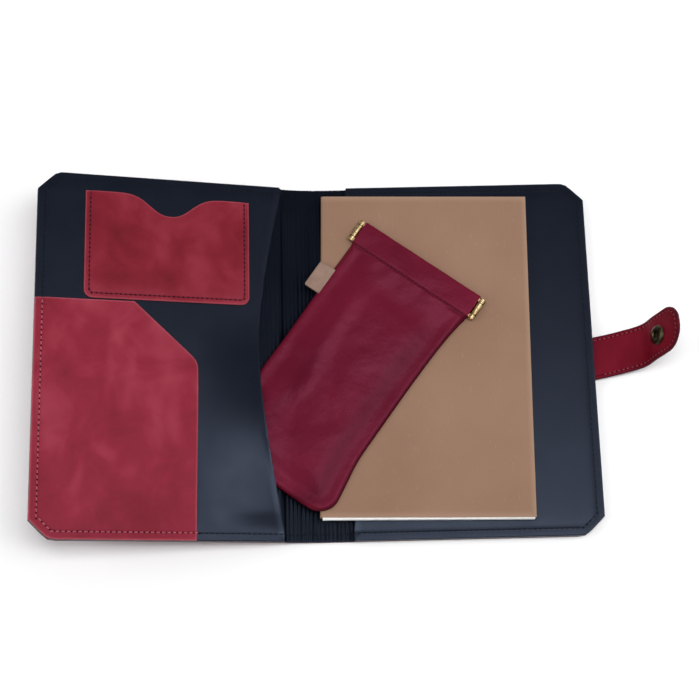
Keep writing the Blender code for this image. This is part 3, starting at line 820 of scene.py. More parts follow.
def add_lining(made):
    """The black lining: a piece on each cover and one over each fold of the spine."""
    start = join_u()
    marks = row_marks(4.0, extra=(-18.2, -17.8, 11.4, 11.8))
    ribbed = 20.0
    for side, body, name in SIDES:
        columns = [("at", u) for u in rib_columns(start, ribbed)]
        columns += [("at", u) for u in spaced(ribbed, COVER_LENGTH - EDGE_STEPS[-1], 6.0)[1:-1]]
        columns += [("far", inset) for inset in reversed(EDGE_STEPS)]
        plan = cover_grid(columns, marks)
        flat = to_flat(plan, side)
        apart = distance(plan, cover_edge(0.0, start - 20))
        low, high = lining_levels(plan[..., 0], flat[..., 0], flat[..., 1], apart)
        points, faces = slab(flat, low, high)
        # edge mask: rubbing, and a painted highlight on the edge
        edge = both(0.3 * edge_falloff(apart))
        piece = add_piece(f"{name}_lining_skin", points, faces, made["ribbed"], lay_case, edge)
        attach(piece, body)
        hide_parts(f"{name}_lining")
    ys = np.array([share * (HALF - inset) for share, inset in marks])
    for number in range(5):
        xs = np.array(rib_columns(*fold_zone(number)))
        plan = np.dstack(np.meshgrid(xs, ys))
        x, y = plan[..., 0], plan[..., 1]
        u = np.maximum(x, -SPINE_WIDTH - x)
        apart = HALF - np.abs(y)
        low, high = lining_levels(u, x, y, apart)
        points, faces = slab(plan, low, high)
        name = f"spine_lining_skin_{number + 1}"
        # edge mask: rubbing, and a painted highlight on the edge
        piece = add_piece(name, points, faces, made["ribbed"], lay_case, both(edge_falloff(apart)))
        bend_over_fold(piece, number)
        if number < 4:
            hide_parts(f"spine_lining_{number + 1}")


def bulge(x, y):
    """How far the front panel stands up near its free edge, over the pouch's corner."""
    edge = -SPINE_WIDTH - 1.5 - FRONT_BOW * np.cos(math.pi * y / (2 * HALF))
    depth = np.clip((edge - x) / BULGE_DEPTH, 0.0, 1.0)
    ends = np.clip((HALF - RIM + y) / 12, 0, 1) * np.clip((BULGE_END_Y - y) / 40, 0, 1)
    spread = hill(y, BULGE_Y, BULGE_SPREAD)
    return BULGE * spread * smooth(ends) ** 0.8 * (1 - depth**2.2) ** 1.5


def panel_top(side, x, y):
    """Height of a sleeve panel's upper face: pressed down where its rim is sewn."""
    u = x if side > 0 else -SPINE_WIDTH - x
    edge = np.minimum(half_height(u) - np.abs(y), COVER_LENGTH - u)
    level = BACK_PANEL[1] if side > 0 else FRONT_PANEL[1]
    pressed = (0.9 if side > 0 else 0.5) * (1 - smooth(edge / 9.0))
    raised = bulge(x, y) if side < 0 else 0.0
    return level - pressed + raised


def back_free_edge(y):
    return 0.4 + (BACK_BOW - 0.9) * np.cos(math.pi * y / (2 * HALF))


def front_free_edge(y):
    return 1.5 + FRONT_BOW * np.cos(math.pi * y / (2 * HALF))


def add_sleeve_panels(made):
    """The black panel over each cover: sewn on three sides, with a bowed free edge."""
    marks = row_marks(4.0)
    settings = (
        (1, "back_cover", "back", BACK_PANEL, back_free_edge),
        (-1, "front_cover", "front", FRONT_PANEL, front_free_edge),
    )
    for side, body, name, levels, free in settings:
        columns = far_columns(3.6, FREE_STEPS, 5.0)
        plan = cover_grid(columns, marks, free)
        flat = to_flat(plan, side)
        sewn = distance(plan, cover_edge(0.0, -20.0))
        ys = np.linspace(-HALF, HALF, 80)
        freed = distance(plan, np.stack([free(ys), ys], 1))
        apart = np.minimum(sewn, freed)
        seam = distance(plan, cover_edge(STITCH_INSET, 0.0))
        groove = hill(seam, 0.0, GROOVE_WIDTH)
        thickness = levels[1] - levels[0]
        top = panel_top(side, flat[..., 0], flat[..., 1])
        high = top - round_drop(apart, 0.5) - 0.06 * groove
        low = np.where(sewn < RIM - 0.4, PANEL_UNDERSIDE, top - thickness)
        low = np.minimum(low, high - 0.25) + round_drop(apart, 0.45) * 0.4
        points, faces = slab(flat, low, high)
        # edge mask: rubbing, and a painted highlight on the edges; weaker on the front cover, and on the
        # free edge fading towards the top
        low_half = 0.15 + 0.85 * smooth((20.0 - flat[..., 1]) / 60.0)
        edge_strength = 1.0 if side > 0 else 0.3
        edge = both(np.maximum(edge_falloff(sewn, PANEL_EDGE_REACH) * edge_strength, edge_falloff(freed, PANEL_EDGE_REACH) * low_half))
        piece = add_piece(f"{name}_sleeve_skin", points, faces, made["black"], lay_case, edge)
        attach(piece, body)
        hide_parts(f"{name}_sleeve_panel")


def wave_top(x):
    """Upper edge of the card pocket, with its wave-shaped thumb cut; x from the fold."""
    dip = 14.0 * np.exp(-(np.abs((x + 73.0) / 16.5) ** 2.4))
    return 104.2 - 1.3 * smooth((x + 100.0) / 70.0) - dip


def card_grid():
    """Plan grid of the card pocket: rounded lower corners, wave-cut top."""
    left, right, bottom, radius = -126.5, -22.4, 33.8, CARD_RADIUS
    insets = (0.0, 0.06, 0.2, 0.5, 1.2, 2.2, 2.6, 2.85, 3.1, 3.35, 3.6, 4.0)
    xs = [left + inset for inset in insets]
    xs += spaced(left + 4.0, right - 4.0, 2.2)[1:-1]
    xs += [right - inset for inset in reversed(insets)]
    xs = np.array(xs)
    side = np.minimum(xs - left, right - xs)
    corner = np.clip(radius - side, 0, radius)
    floor = bottom + radius - np.sqrt(radius**2 - corner**2)
    ceiling = wave_top(xs)
    rows = [("low", inset) for inset in insets]
    rows += [("share", share) for share in spaced(0.0, 1.0, 3.5 / 62)[1:-1]]
    rows += [("high", inset) for inset in reversed(insets[:5])]
    lines = []
    for kind, value in rows:
        if kind == "low":
            lines.append(floor + value)
        elif kind == "high":
            lines.append(ceiling - value)
        else:
            lines.append(floor + 4.0 + value * (ceiling - 1.2 - floor - 4.0))
    return np.dstack([np.tile(xs, (len(lines), 1)), np.array(lines)])


def document_right(y):
    """Free right edge of the document pocket, slanted towards its top; from the fold."""
    upper = -57.2 - 1.077 * (y + 2.6)
    plain = -55.2 - 0.8 * smooth((-y - 20) / 90)
    soft = 1.6
    return -soft * np.log(np.exp(-plain / soft) + np.exp(-upper / soft))


def document_grid():
    """Plan grid of the document pocket: cover's corner at the lower left, slanted upper right."""
    top = 32.6
    low = -(HALF - EDGE_STEPS[-1])
    ys = [-(HALF - inset) for inset in EDGE_STEPS] + spaced(low, top - 1.2, 3.2)[1:-1]
    ys += [top - inset for inset in reversed(FREE_STEPS)]
    insets = [("far", inset) for inset in EDGE_STEPS]
    insets += [("share", share) for share in spaced(0.0, 1.0, 3.4 / 92)[1:-1]]
    insets += [("near", inset) for inset in reversed(FREE_STEPS)]
    ys = np.array(ys)[:, None]
    right = document_right(ys)
    columns = []
    for kind, value in insets:
        if kind == "far":
            x = np.full_like(ys, value - COVER_LENGTH)
        elif kind == "near":
            x = right - value
        else:
            start = EDGE_STEPS[-1] - COVER_LENGTH
            x = start + value * (right - FREE_STEPS[-1] - start)
        columns.append(x)
    x = np.concatenate(columns, 1)
    y = np.tile(ys, (1, x.shape[1]))
    floor = half_height(-x)
    inset = HALF + y
    slant = smooth((-x - (COVER_LENGTH - CORNER_CUT) + 1.5) / 3.0)
    near_floor = -floor + inset * (1 + slant * (math.sqrt(2) - 1))
    reach = smooth((y - low) / 40.0)
    y = np.where(y < low + 1e-6, near_floor, near_floor * (1 - reach) + y * reach)
    return np.dstack([x, y])


def add_pockets(made):
    """The red card pocket, sewn on three sides, and the document pocket, sewn on two."""
    plan = card_grid()
    sewn_path = np.concatenate([plan[::-1, 0], plan[0], plan[:, -1]])
    finish_pocket("card_pocket", plan, sewn_path, CARD_STITCH_INSET, made["card"])
    plan = document_grid()
    sewn_path = np.concatenate([plan[::-1, 0], plan[0]])
    finish_pocket("document_pocket", plan, sewn_path, STITCH_INSET, made["red"])


def finish_pocket(name, plan, sewn_path, stitch_inset, leather):
    outline = np.concatenate([plan[0], plan[:, -1], plan[-1, ::-1], plan[::-1, 0]])
    apart = distance(plan, outline)
    sewn = distance(plan, sewn_path)
    groove = hill(sewn, stitch_inset, GROOVE_WIDTH)
    flat = plan.copy()
    flat[..., 0] = plan[..., 0] - SPINE_WIDTH
    top = pocket_top(sewn)
    high = top - round_drop(apart, 0.5) - 0.28 * groove
    low = np.where(sewn < stitch_inset + 1.4, POCKET_UNDERSIDE, top - 0.95)
    low = np.minimum(low, high - 0.2) + round_drop(apart, 0.45) * 0.4
    points, faces = slab(flat, low, high)
    edge = both(edge_falloff(apart, PANEL_EDGE_REACH))
    # the groove is also passed as painted shade
    piece = add_piece(f"{name}_skin", points, faces, leather, lay_case, edge, both(groove))
    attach(piece, "front_cover")
    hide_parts(name)


def pocket_top(sewn):
    return POCKET_TOP - 0.55 * (1 - smooth(sewn / 9.0))


def add_case_stitches(made):
    """The saddle stitch round both covers and across the spine's ends."""
    start = join_u()
    edge = cover_edge(STITCH_INSET, start)
    for side, body, name in SIDES:
        path = to_flat(edge, side)
        places = along(path, STITCH_PITCH)
        on_red = [side < 0 and y < 32.0 and x < -SPINE_WIDTH - 55.0 for (x, y), _ in places]
        for red in (False, True):
            chosen = [place for place, is_red in zip(places, on_red) if is_red == red]
            if not chosen:
                continue
            material = made["red_thread"] if red else made["black_thread"]

            def surface(x, y, red=red, side=side):
                if red:
                    return float(pocket_top(np.array(STITCH_INSET))) - STITCH_SINK
                return float(panel_top(side, np.array(x), np.array(y))) - STITCH_SINK

            label = f"{name}_{'pocket' if red else 'panel'}_stitches"
            piece = stitch_mesh(label, chosen, surface, material, lay_case, 2.4, 0.95)
            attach(piece, body)
            if red:
                # painted shade in each stitch hole
                hole_shades = hole_shade_mesh("front_pocket_hole_shades", chosen, STITCH_PITCH, surface, made, lay_case)
                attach(hole_shades, body)
    for number in range(5):
        x_high, x_low = fold_zone(number)
        count = round((x_high - x_low) / STITCH_PITCH)
        xs = [x_high - (k + 0.5) * (x_high - x_low) / count for k in range(count)]
        ends = [(x, sign * (HALF - STITCH_INSET)) for sign in (-1, 1) for x in xs]
        places = [(np.array(end), np.array([1.0, 0.0])) for end in ends]

        def surface(x, y):
            return SPINE_LINING[1] + float(ribs(np.array(x))) + float(ripple(np.array(x), np.array(y)))

        piece = stitch_mesh(f"spine_stitches_{number + 1}", places, surface, made["black_thread"], lay_case)
        bend_over_fold(piece, number)


def add_card_stitches(made):
    """The stitching down one side of the card pocket, round its lower corners and up again."""
    plan = card_grid()
    inset = CARD_STITCH_INSET
    radius = CARD_RADIUS - inset
    left, right = plan[..., 0].min() + inset, plan[..., 0].max() - inset
    bottom = plan[..., 1].min() + inset
    rail = [(left, plan[-1, 0, 1] - 2.0)]
    for x, start in ((left + radius, 180), (right - radius, 270)):
        for turn in np.radians(np.linspace(start, start + 90, 6)):
            rail.append((x + radius * math.cos(turn), bottom + radius + radius * math.sin(turn)))
    rail.append((right, plan[-1, -1, 1] - 2.0))
    rail = np.array(rail) - (SPINE_WIDTH, 0)
    places = along(rail, CARD_STITCH_PITCH)

    def surface(x, y):
        return float(pocket_top(np.array(inset))) - STITCH_SINK

    piece = stitch_mesh("card_pocket_stitches", places, surface, made["dark_red_thread"], lay_case)
    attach(piece, "front_cover")
    # painted shade in each stitch hole
    hole_shades = hole_shade_mesh("card_pocket_hole_shades", places, CARD_STITCH_PITCH, surface, made, lay_case)
    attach(hole_shades, "front_cover")


# ---------------------------------------------------------------- strap


def strap_plan(x, w):
    """Flat place of a strap point at x, w to the side of its leaning centre line."""
    return x, STRAP_Y + (x - STRAP_FOLDS[0]) * math.tan(STRAP_LEAN) + w / math.cos(STRAP_LEAN)


def strap_half(x):
    """Half the strap's width, narrowing in an arc to its rounded end."""
    half = STRAP_WIDTH / 2
    over = np.clip(x - (STRAP_END - STRAP_TIP_RADIUS), 0, STRAP_TIP_RADIUS)
    return half - STRAP_TIP_RADIUS + np.sqrt(STRAP_TIP_RADIUS**2 - over**2)


def strap_heights(apart, x, w):
    drop = round_drop(apart, 0.6)
    groove = hill(apart, STRAP_STITCH_INSET, 0.3) * (x > STRAP_FOLDS[0] - 1.0)
    swell = 0.12 * np.sin(x / 6.5 + 0.4 * w / 10.0)
    hole = np.clip(1.0 - np.hypot(x - SNAP_X, w) / 7.5, 0, 1)
    high = STRAP_Z - drop - 0.25 * groove + np.minimum(swell, 0.0) - 0.25 * smooth(hole * 2)
    return STRAP_Z - STRAP_THICK + drop, high, groove


def add_strap(made):
    """Three lengths of strap, laid as the strap hangs at rest, and the stitching round them."""
    bounds = [STRAP_START, STRAP_ZONES[0][1], STRAP_ZONES[1][1], STRAP_END]
    tip_line = []
    for sign in (1, -1):
        for x in np.linspace(STRAP_END, STRAP_START, 90)[::sign]:
            tip_line.append(strap_plan(x, sign * strap_half(x)))
    shares = [(-1.0, inset) for inset in STRAP_EDGE]
    inner = STRAP_WIDTH / 2 - STRAP_EDGE[-1]
    shares += [(share, STRAP_EDGE[-1]) for share in spaced(-1.0, 1.0, 1.8 / inner)[1:-1]]
    shares += [(1.0, inset) for inset in reversed(STRAP_EDGE)]
    names = ("root", "middle", "end")
    for number, name in enumerate(names):
        low_x, high_x = bounds[number], bounds[number + 1]
        xs = spaced(low_x, high_x, 0.9)
        if name == "end":
            fine = [STRAP_END - inset for inset in reversed(STRAP_EDGE)]
            xs = spaced(low_x, fine[0], 0.9)[:-1] + fine
        xs = np.array(xs)
        half = strap_half(xs)
        w = np.array([share * (half - inset * np.minimum(1.0, half / inner)) for share, inset in shares])
        x = np.tile(xs, (len(shares), 1))
        plan = np.dstack(strap_plan(x, w))
        apart = distance(plan, tip_line)
        low, high, groove = strap_heights(apart, x, w)
        points, faces = slab(plan, low, high)
        edge = both(edge_falloff(apart, 0.8))
        # the groove is also passed as painted shade
        piece = add_piece(f"strap_{name}_skin", points, faces, made["strap"], lay_strap, edge, both(groove))
        bend_over_strap(piece, number)
        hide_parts(f"strap_{name}_leather")
        if name == "root":
            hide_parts("strap_anchor")
        rail = along(strap_rail(STRAP_STITCH_INSET), STRAP_STITCH_PITCH)
        places = [place for place in rail if low_x <= place[0][0] < high_x]
        label = f"strap_{name}_stitches"
        threads = stitch_mesh(label, places, strap_surface, made["strap_thread"], lay_strap, 1.9, 0.7)
        bend_over_strap(threads, number)
        # painted shade in each stitch hole
        label = f"strap_{name}_holes"
        hole_shades = hole_shade_mesh(label, places, STRAP_STITCH_PITCH, strap_surface, made, lay_strap)
        bend_over_strap(hole_shades, number)


def strap_surface(x, w):
    return STRAP_Z - STITCH_SINK


def strap_rail(inset):
    """The strap's stitch line, from its root along the upper edge, round the end and back."""
    start = STRAP_FOLDS[0] - 0.8
    half = STRAP_WIDTH / 2 - inset
    radius = STRAP_TIP_RADIUS - inset
    points = [(start, half)]
    for turn in np.radians(np.linspace(90, 0, 8)):
        x = STRAP_END - inset - radius + radius * math.cos(turn)
        points.append((x, half - radius + radius * math.sin(turn)))
    points += [(x, -w) for x, w in reversed(points)]
    dense = []
    for (x0, w0), (x1, w1) in zip(points, points[1:]):
        for share in np.linspace(0, 1, 12)[:-1]:
            dense.append(strap_plan(x0 + share * (x1 - x0), w0 + share * (w1 - w0)))
    return np.array(dense)


def bend_over_strap(piece, number):
    ends = np.array([(x, 0.0, STRAP_Z) for x in STRAP_ZONES[number]])
    start, end = lay_strap(ends)
    start[1] = end[1] = 0.0
    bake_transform(piece)


# ---------------------------------------------------------------- notebook


def book_lift(x, y):
    """The kraft cover's lower right corner has opened a little."""
    return 1.0 * smooth((x - 5.0) / 60.0) * smooth((-y - 25.0) / 80.0)


def add_notebook(made):
    """The kraft cover, one card folded round its spine, and the leaves inside it."""
    half = BOOK_WIDTH / 2
    low, high = BOOK_LEVELS
    radius = 1.6
    path = [(x, low) for x in spaced(half, radius - half, 5.0)]
    turn = []
    for angle in np.linspace(0, math.pi / 2, 6):
        turn.append((radius - half - radius * math.sin(angle), low + radius * (1 - math.cos(angle))))
    path += turn[1:] + [(-half, low + radius + 2.0)]
    path += [(x, low + high - z) for x, z in reversed(turn)][:-1]
    path += [(x, high) for x in spaced(radius - half, half, 3.5)]
    path = np.array(path)
    direction = np.gradient(path, axis=0)
    direction /= np.linalg.norm(direction, axis=1)[:, None]
    normal = np.stack([direction[:, 1], -direction[:, 0]], 1)
    ys = np.array(spaced(-BOOK_HEIGHT / 2, BOOK_HEIGHT / 2, 4.0))
    outer = path + normal * BOOK_CARD / 2
    inner = path - normal * BOOK_CARD / 2
    rows, columns = len(ys), len(path)
    layers = []
    for line in (outer, inner):
        x = np.tile(line[:, 0], (rows, 1))
        z = np.tile(line[:, 1], (rows, 1))
        y = np.tile(ys[:, None], (1, columns))
        front = smooth((z - high + 1.5) / 1.4)
        layers.append(np.dstack([x, y, z + book_lift(x, y) * front]).reshape(-1, 3))
    faces = sheet_faces(rows, columns)
    points = np.concatenate(layers)
    apart = np.minimum(BOOK_HEIGHT / 2 - np.abs(points[:, 1]), half - points[:, 0])
    cover = add_piece("notebook_card_cover", points, faces, made["kraft"], lay_book, edge_falloff(apart, 0.4))
    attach(cover, "notebook")
    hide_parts("notebook_cover")
    add_leaves(made, half)


def add_leaves(made, half):
    """The pages, as separate leaves with slightly uneven edges."""
    points = []
    faces = []
    pitch = (PAGES[1] - PAGES[0]) / LEAVES
    for number in range(LEAVES):
        z = PAGES[0] + number * pitch
        stray = 0.25 * math.sin(number * 2.7)
        right = half - 0.9 + stray * 0.6
        end = BOOK_HEIGHT / 2 - 0.12 + 0.1 * math.sin(number * 4.1)
        xs = spaced(1.4 - half, right, 9.0)
        ys = spaced(-end, end, 10.0)
        plan = np.dstack(np.meshgrid(xs, ys))
        lift = book_lift(plan[..., 0], plan[..., 1]) * ((number + 1) / LEAVES) ** 2 * 0.8
        plan[..., 1] -= 1.1 - 0.5 * plan[..., 0] / BOOK_WIDTH
        more, loops = slab(plan, z + lift, z + lift + pitch * 0.86)
        faces += [[index + len(points) for index in loop] for loop in loops]
        points += more.tolist()
    block = add_piece("page_leaves", points, faces, made["paper"], lay_book)
    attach(block, "notebook")
    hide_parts("page_block")


# ---------------------------------------------------------------- pouch


def pouch_sides(t):
    """Left and right side of the pouch at t, drawn in round its lower corners."""
    over = np.clip(t - (POUCH_LENGTH - POUCH_RADIUS), 0, POUCH_RADIUS)
    inward = POUCH_RADIUS - np.sqrt(POUCH_RADIUS**2 - over**2)
    bowed = (1 - np.exp(-np.clip(t - BAND, 0, None) / 22.0)) * (1 - smooth((t - 126.0) / 42.0))
    return inward, POUCH_WIDTH - inward - POUCH_WAIST * bowed


def pouch_swell(s, t, apart):
    """Thickness of the pouch below its band: rolled seams, soft folds, a hollow by the hem."""
    seam = 2.5 * np.sqrt(np.clip(1 - (1 - np.clip(apart / 2.6, 0, 1)) ** 2, 0, 1))
    dip = -0.4 * hill(apart, 8.0, 4.0)
    body = 1.3 * smooth((apart - 6.0) / 16.0)
    hem = 1.6 * np.exp(-np.clip(t - BAND, 0, None) / 9.0)
    fold_a = 0.65 * hill(s - 0.10 * t, 17.0, 5.0) * smooth((t - 24) / 30) * smooth((150 - t) / 60)
    fold_b = -0.55 * hill(s + 0.05 * t, 34.0, 6.0) * smooth((t - 22) / 20) * smooth((120 - t) / 50)
    fold_c = 0.2 * hill(s + 0.16 * t, 66.0, 6.5) * smooth((t - 30) / 25) * smooth((165 - t) / 40)
    hollow = -0.95 * hill(s, 47.0, 17.0) * hill(t, 33.0, 9.0)
    rise = 0.55 * hill(s, 30.0, 14.0) * hill(t, 50.0, 16.0)
    rise += 0.35 * hill(s, 60.0, 12.0) * hill(t, 52.0, 18.0)
    pucker = 0.22 * np.sin(s / 2.3 + 0.5 * np.sin(s / 5.0)) * np.exp(-np.clip(t - BAND, 0, None) / 5.0)
    puckered = pucker * smooth((t - BAND) / 2.0)
    inner = smooth((apart - 3.0) / 6.0)
    folds = fold_a + fold_b + fold_c + hollow + rise + puckered
    return seam + dip + body + hem * smooth(apart / 3) + folds * inner


def band_top(s, t):
    """Upper face of the front hem band over its spring strip."""
    crown = 18.55 + 0.2 * np.sin(math.pi * np.clip(t / BAND, 0, 1))
    dimples = 0.14 * np.sin(s / 9.0 + 1.0) * np.sin(t / 3.0) + 0.1 * np.sin(s / 4.3 + t / 5.0)
    return crown + dimples - round_drop(t, 0.9)


def pouch_top(s, t, apart):
    """Upper face of the pouch: the hem band, a groove, then the swelling front."""
    body = POUCH_BOTTOM + pouch_swell(s, t, apart)
    band = band_top(s, np.minimum(t, BAND))
    share = smooth((t - BAND + 0.6) / 2.6)
    groove = 0.55 * hill(t, BAND, 0.45)
    return band * (1 - share) + body * share - groove


def settle(points, faces, held):
    """Lets the free leather of a closed form buckle a little, by a short cloth simulation."""
    scene = bpy.context.scene
    mesh = bpy.data.meshes.new("settling")
    mesh.from_pydata((points * MM).tolist(), [], faces)
    bm = bmesh.new()
    bm.from_mesh(mesh)
    bmesh.ops.recalc_face_normals(bm, faces=bm.faces[:])
    bm.to_mesh(mesh)
    bm.free()
    body = bpy.data.objects.new("settling", mesh)
    scene.collection.objects.link(body)
    group = body.vertex_groups.new(name="held")
    for index, weight in enumerate(held):
        group.add([index], float(weight), "REPLACE")
    cloth = body.modifiers.new("cloth", "CLOTH")
    cloth.settings.vertex_group_mass = "held"
    cloth.settings.quality = 6
    cloth.settings.mass = 0.2
    cloth.settings.bending_stiffness = 10.0
    cloth.settings.shrink_min = -CLOTH_FULLNESS
    cloth.settings.use_pressure = True
    cloth.settings.uniform_pressure_force = CLOTH_PRESSURE
    cloth.settings.effector_weights.gravity = 0.0
    for number in range(1, CLOTH_FRAMES + 1):
        scene.frame_set(number)
    settled = body.evaluated_get(bpy.context.evaluated_depsgraph_get())
    places = np.empty(len(points) * 3)
    settled.data.vertices.foreach_get("co", places)
    moved = places.reshape(-1, 3) / MM - points
    scene.frame_set(1)
    bpy.data.objects.remove(body)
    pairs = np.array([pair for face in faces for pair in zip(face, face[1:] + face[:1])])
    count = np.bincount(pairs[:, 0], minlength=len(points))[:, None]
    for _ in range(CLOTH_SMOOTHING):
        total = np.zeros_like(moved)
        np.add.at(total, pairs[:, 0], moved[pairs[:, 1]])
        moved = (moved + total) / (1 + count)
    reach = np.linalg.norm(moved, axis=1)
    share = np.minimum(1.0, CLOTH_CAP / np.maximum(reach, 1e-9))
    return points + moved * (share * (1.0 - held))[:, None]


def add_pouch(made):
    """One soft skin: front, hem bands with the mouth's slit between them, and back."""
    ts = list(SEAM_STEPS[:6]) + spaced(3.0, BAND - 1.0, 1.5)
    ts += [BAND + step for step in (-0.6, -0.3, 0.0, 0.3, 0.7)]
    ts += spaced(BAND + 1.2, BAND + 12.0, 1.0) + spaced(BAND + 14.0, POUCH_LENGTH - 10.0, 2.0)
    ts += [POUCH_LENGTH - inset for inset in reversed(SEAM_STEPS)]
    ts = np.array(ts)
    left, right = pouch_sides(ts)
    columns = [("left", inset) for inset in SEAM_STEPS]
    columns += [("share", share) for share in spaced(0.0, 1.0, 1.7 / 70)[1:-1]]
    columns += [("right", inset) for inset in reversed(SEAM_STEPS)]
    grid = []
    last = SEAM_STEPS[-1]
    for kind, value in columns:
        if kind == "left":
            grid.append(left + value)
        elif kind == "right":
            grid.append(right - value)
        else:
            grid.append(left + last + value * (right - left - 2 * last))
    s = np.stack(grid, 1)
    t = np.tile(ts[:, None], (1, s.shape[1]))
    edge_t = np.linspace(0, POUCH_LENGTH, 160)
    lefts, rights = pouch_sides(edge_t)
    outline = np.concatenate([np.stack([lefts, edge_t], 1), np.stack([rights, edge_t], 1)[::-1]])
    apart = distance(np.dstack([s, t]), outline)
    top = pouch_top(s, t, np.minimum(apart, np.minimum(s - left[:, None], right[:, None] - s) + 0 * t))
    in_band = t <= BAND
    end_drop = round_drop(np.minimum(s, POUCH_WIDTH - s).clip(0), 0.5)
    top = np.where(in_band, top - end_drop, top)
    bottom = POUCH_BOTTOM + np.where(in_band, end_drop, round_drop(apart, 1.1)) + round_drop(t, 0.9)
    slit_rows = [row for row in range(len(ts)) if ts[row] <= MOUTH_DEPTH]
    upper = np.dstack([s, t, top])
    lower = np.dstack([s, t, bottom])
    slit_s, slit_t = s[slit_rows], t[slit_rows]
    front_inner = np.dstack([slit_s, slit_t, 16.35 + round_drop(slit_t, 0.9)])
    back_inner = np.dstack([slit_s, slit_t, 15.95 - round_drop(slit_t, 0.9)])
    sheet = np.concatenate([upper[::-1], front_inner, back_inner[::-1], lower])
    rows, width = sheet.shape[:2]
    points = sheet.reshape(-1, 3)
    faces = grid_quads(rows, width)
    index = np.arange(rows * width).reshape(rows, width)
    body_rows = len(ts)
    slits = len(slit_rows)
    start_lower = body_rows + 2 * slits
    for column in (0, width - 1):
        line = index[:, column]
        for row in range(slits - 1, body_rows - 1):
            a, b = line[body_rows - 1 - row], line[body_rows - 2 - row]
            c, d = line[start_lower + row + 1], line[start_lower + row]
            faces.append([int(a), int(b), int(c), int(d)])
        for row in range(slits - 1):
            a, b = line[body_rows - 1 - row], line[body_rows - 2 - row]
            c, d = line[body_rows + row + 1], line[body_rows + row]
            faces.append([int(a), int(b), int(c), int(d)])
            a, b = line[start_lower - 1 - row], line[start_lower - 2 - row]
            c, d = line[start_lower + row + 1], line[start_lower + row]
            faces.append([int(a), int(b), int(c), int(d)])
        corners = (body_rows - slits, body_rows + slits - 1, body_rows + slits, start_lower + slits - 1)
        faces.append([int(line[corner]) for corner in corners])
    for k in range(width - 1):
        bottom_line = [index[0, k], index[0, k + 1], index[-1, k + 1], index[-1, k]]
        faces.append([int(vertex) for vertex in bottom_line])
    mouth_apart = np.minimum(np.minimum(points[:, 0], POUCH_WIDTH - points[:, 0]), points[:, 1])
    whole = np.concatenate([apart[::-1], apart[slit_rows], apart[slit_rows][::-1], apart]).ravel()
    # painted shade: a dark line in the hem's groove
    hem = hill(points[:, 1], BAND, 0.5) * (points[:, 2] > POUCH_BOTTOM + 1.2)
    edge = np.maximum(edge_falloff(whole, 0.7) * (points[:, 1] > BAND), edge_falloff(np.minimum(mouth_apart, 5.0), 0.7))
    front = points[:, 2] > POUCH_BOTTOM + 1.2
    inward = pouch_sides(points[:, 1])[1] - points[:, 0]
    # painted shade in a hollow inside the right side and in a fold near the left side
    hollow = 0.75 * hill(inward, 13.0, 7.0) * smooth((points[:, 1] - 25.0) / 40.0)
    hollow += 0.4 * hill(points[:, 0], 24.0, 5.0) * smooth((points[:, 1] - 60.0) / 40.0)
    # painted shade: a dark rim where the right side turns under
    side = edge_falloff(inward, 2.0) * (points[:, 1] > BAND)
    shade = np.maximum(np.maximum(hem, side), hollow * front)
    below_band = smooth((points[:, 1] - BAND - 1.0) / 6.0)
    free = front * below_band * smooth((whole - 2.0) / 6.0)
    points = settle(points, faces, 1.0 - free)
    pouch = add_piece("pouch_skin", points, faces, made["burgundy"], lay_pouch, edge, shade)
    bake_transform(pouch)
    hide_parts("pouch_front_leather", "pouch_back_leather", "pouch_front_flap", "pouch_back_flap")

    starts = np.arange(1.8, POUCH_WIDTH - 1.0, 2.7)
    places = [(np.array([start, BAND]), np.array([1.0, 0.0])) for start in starts]

    def around(s, t):
        return float(pouch_top(np.array(s), np.array(t), np.array(20.0))) + 0.02

    hem_stitches = stitch_mesh(
        "pouch_hem_stitches", places, around, made["dark_red_thread"], lay_pouch, 2.0, 0.5, 0.4, 0.0
    )
    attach(hem_stitches, "pouch")


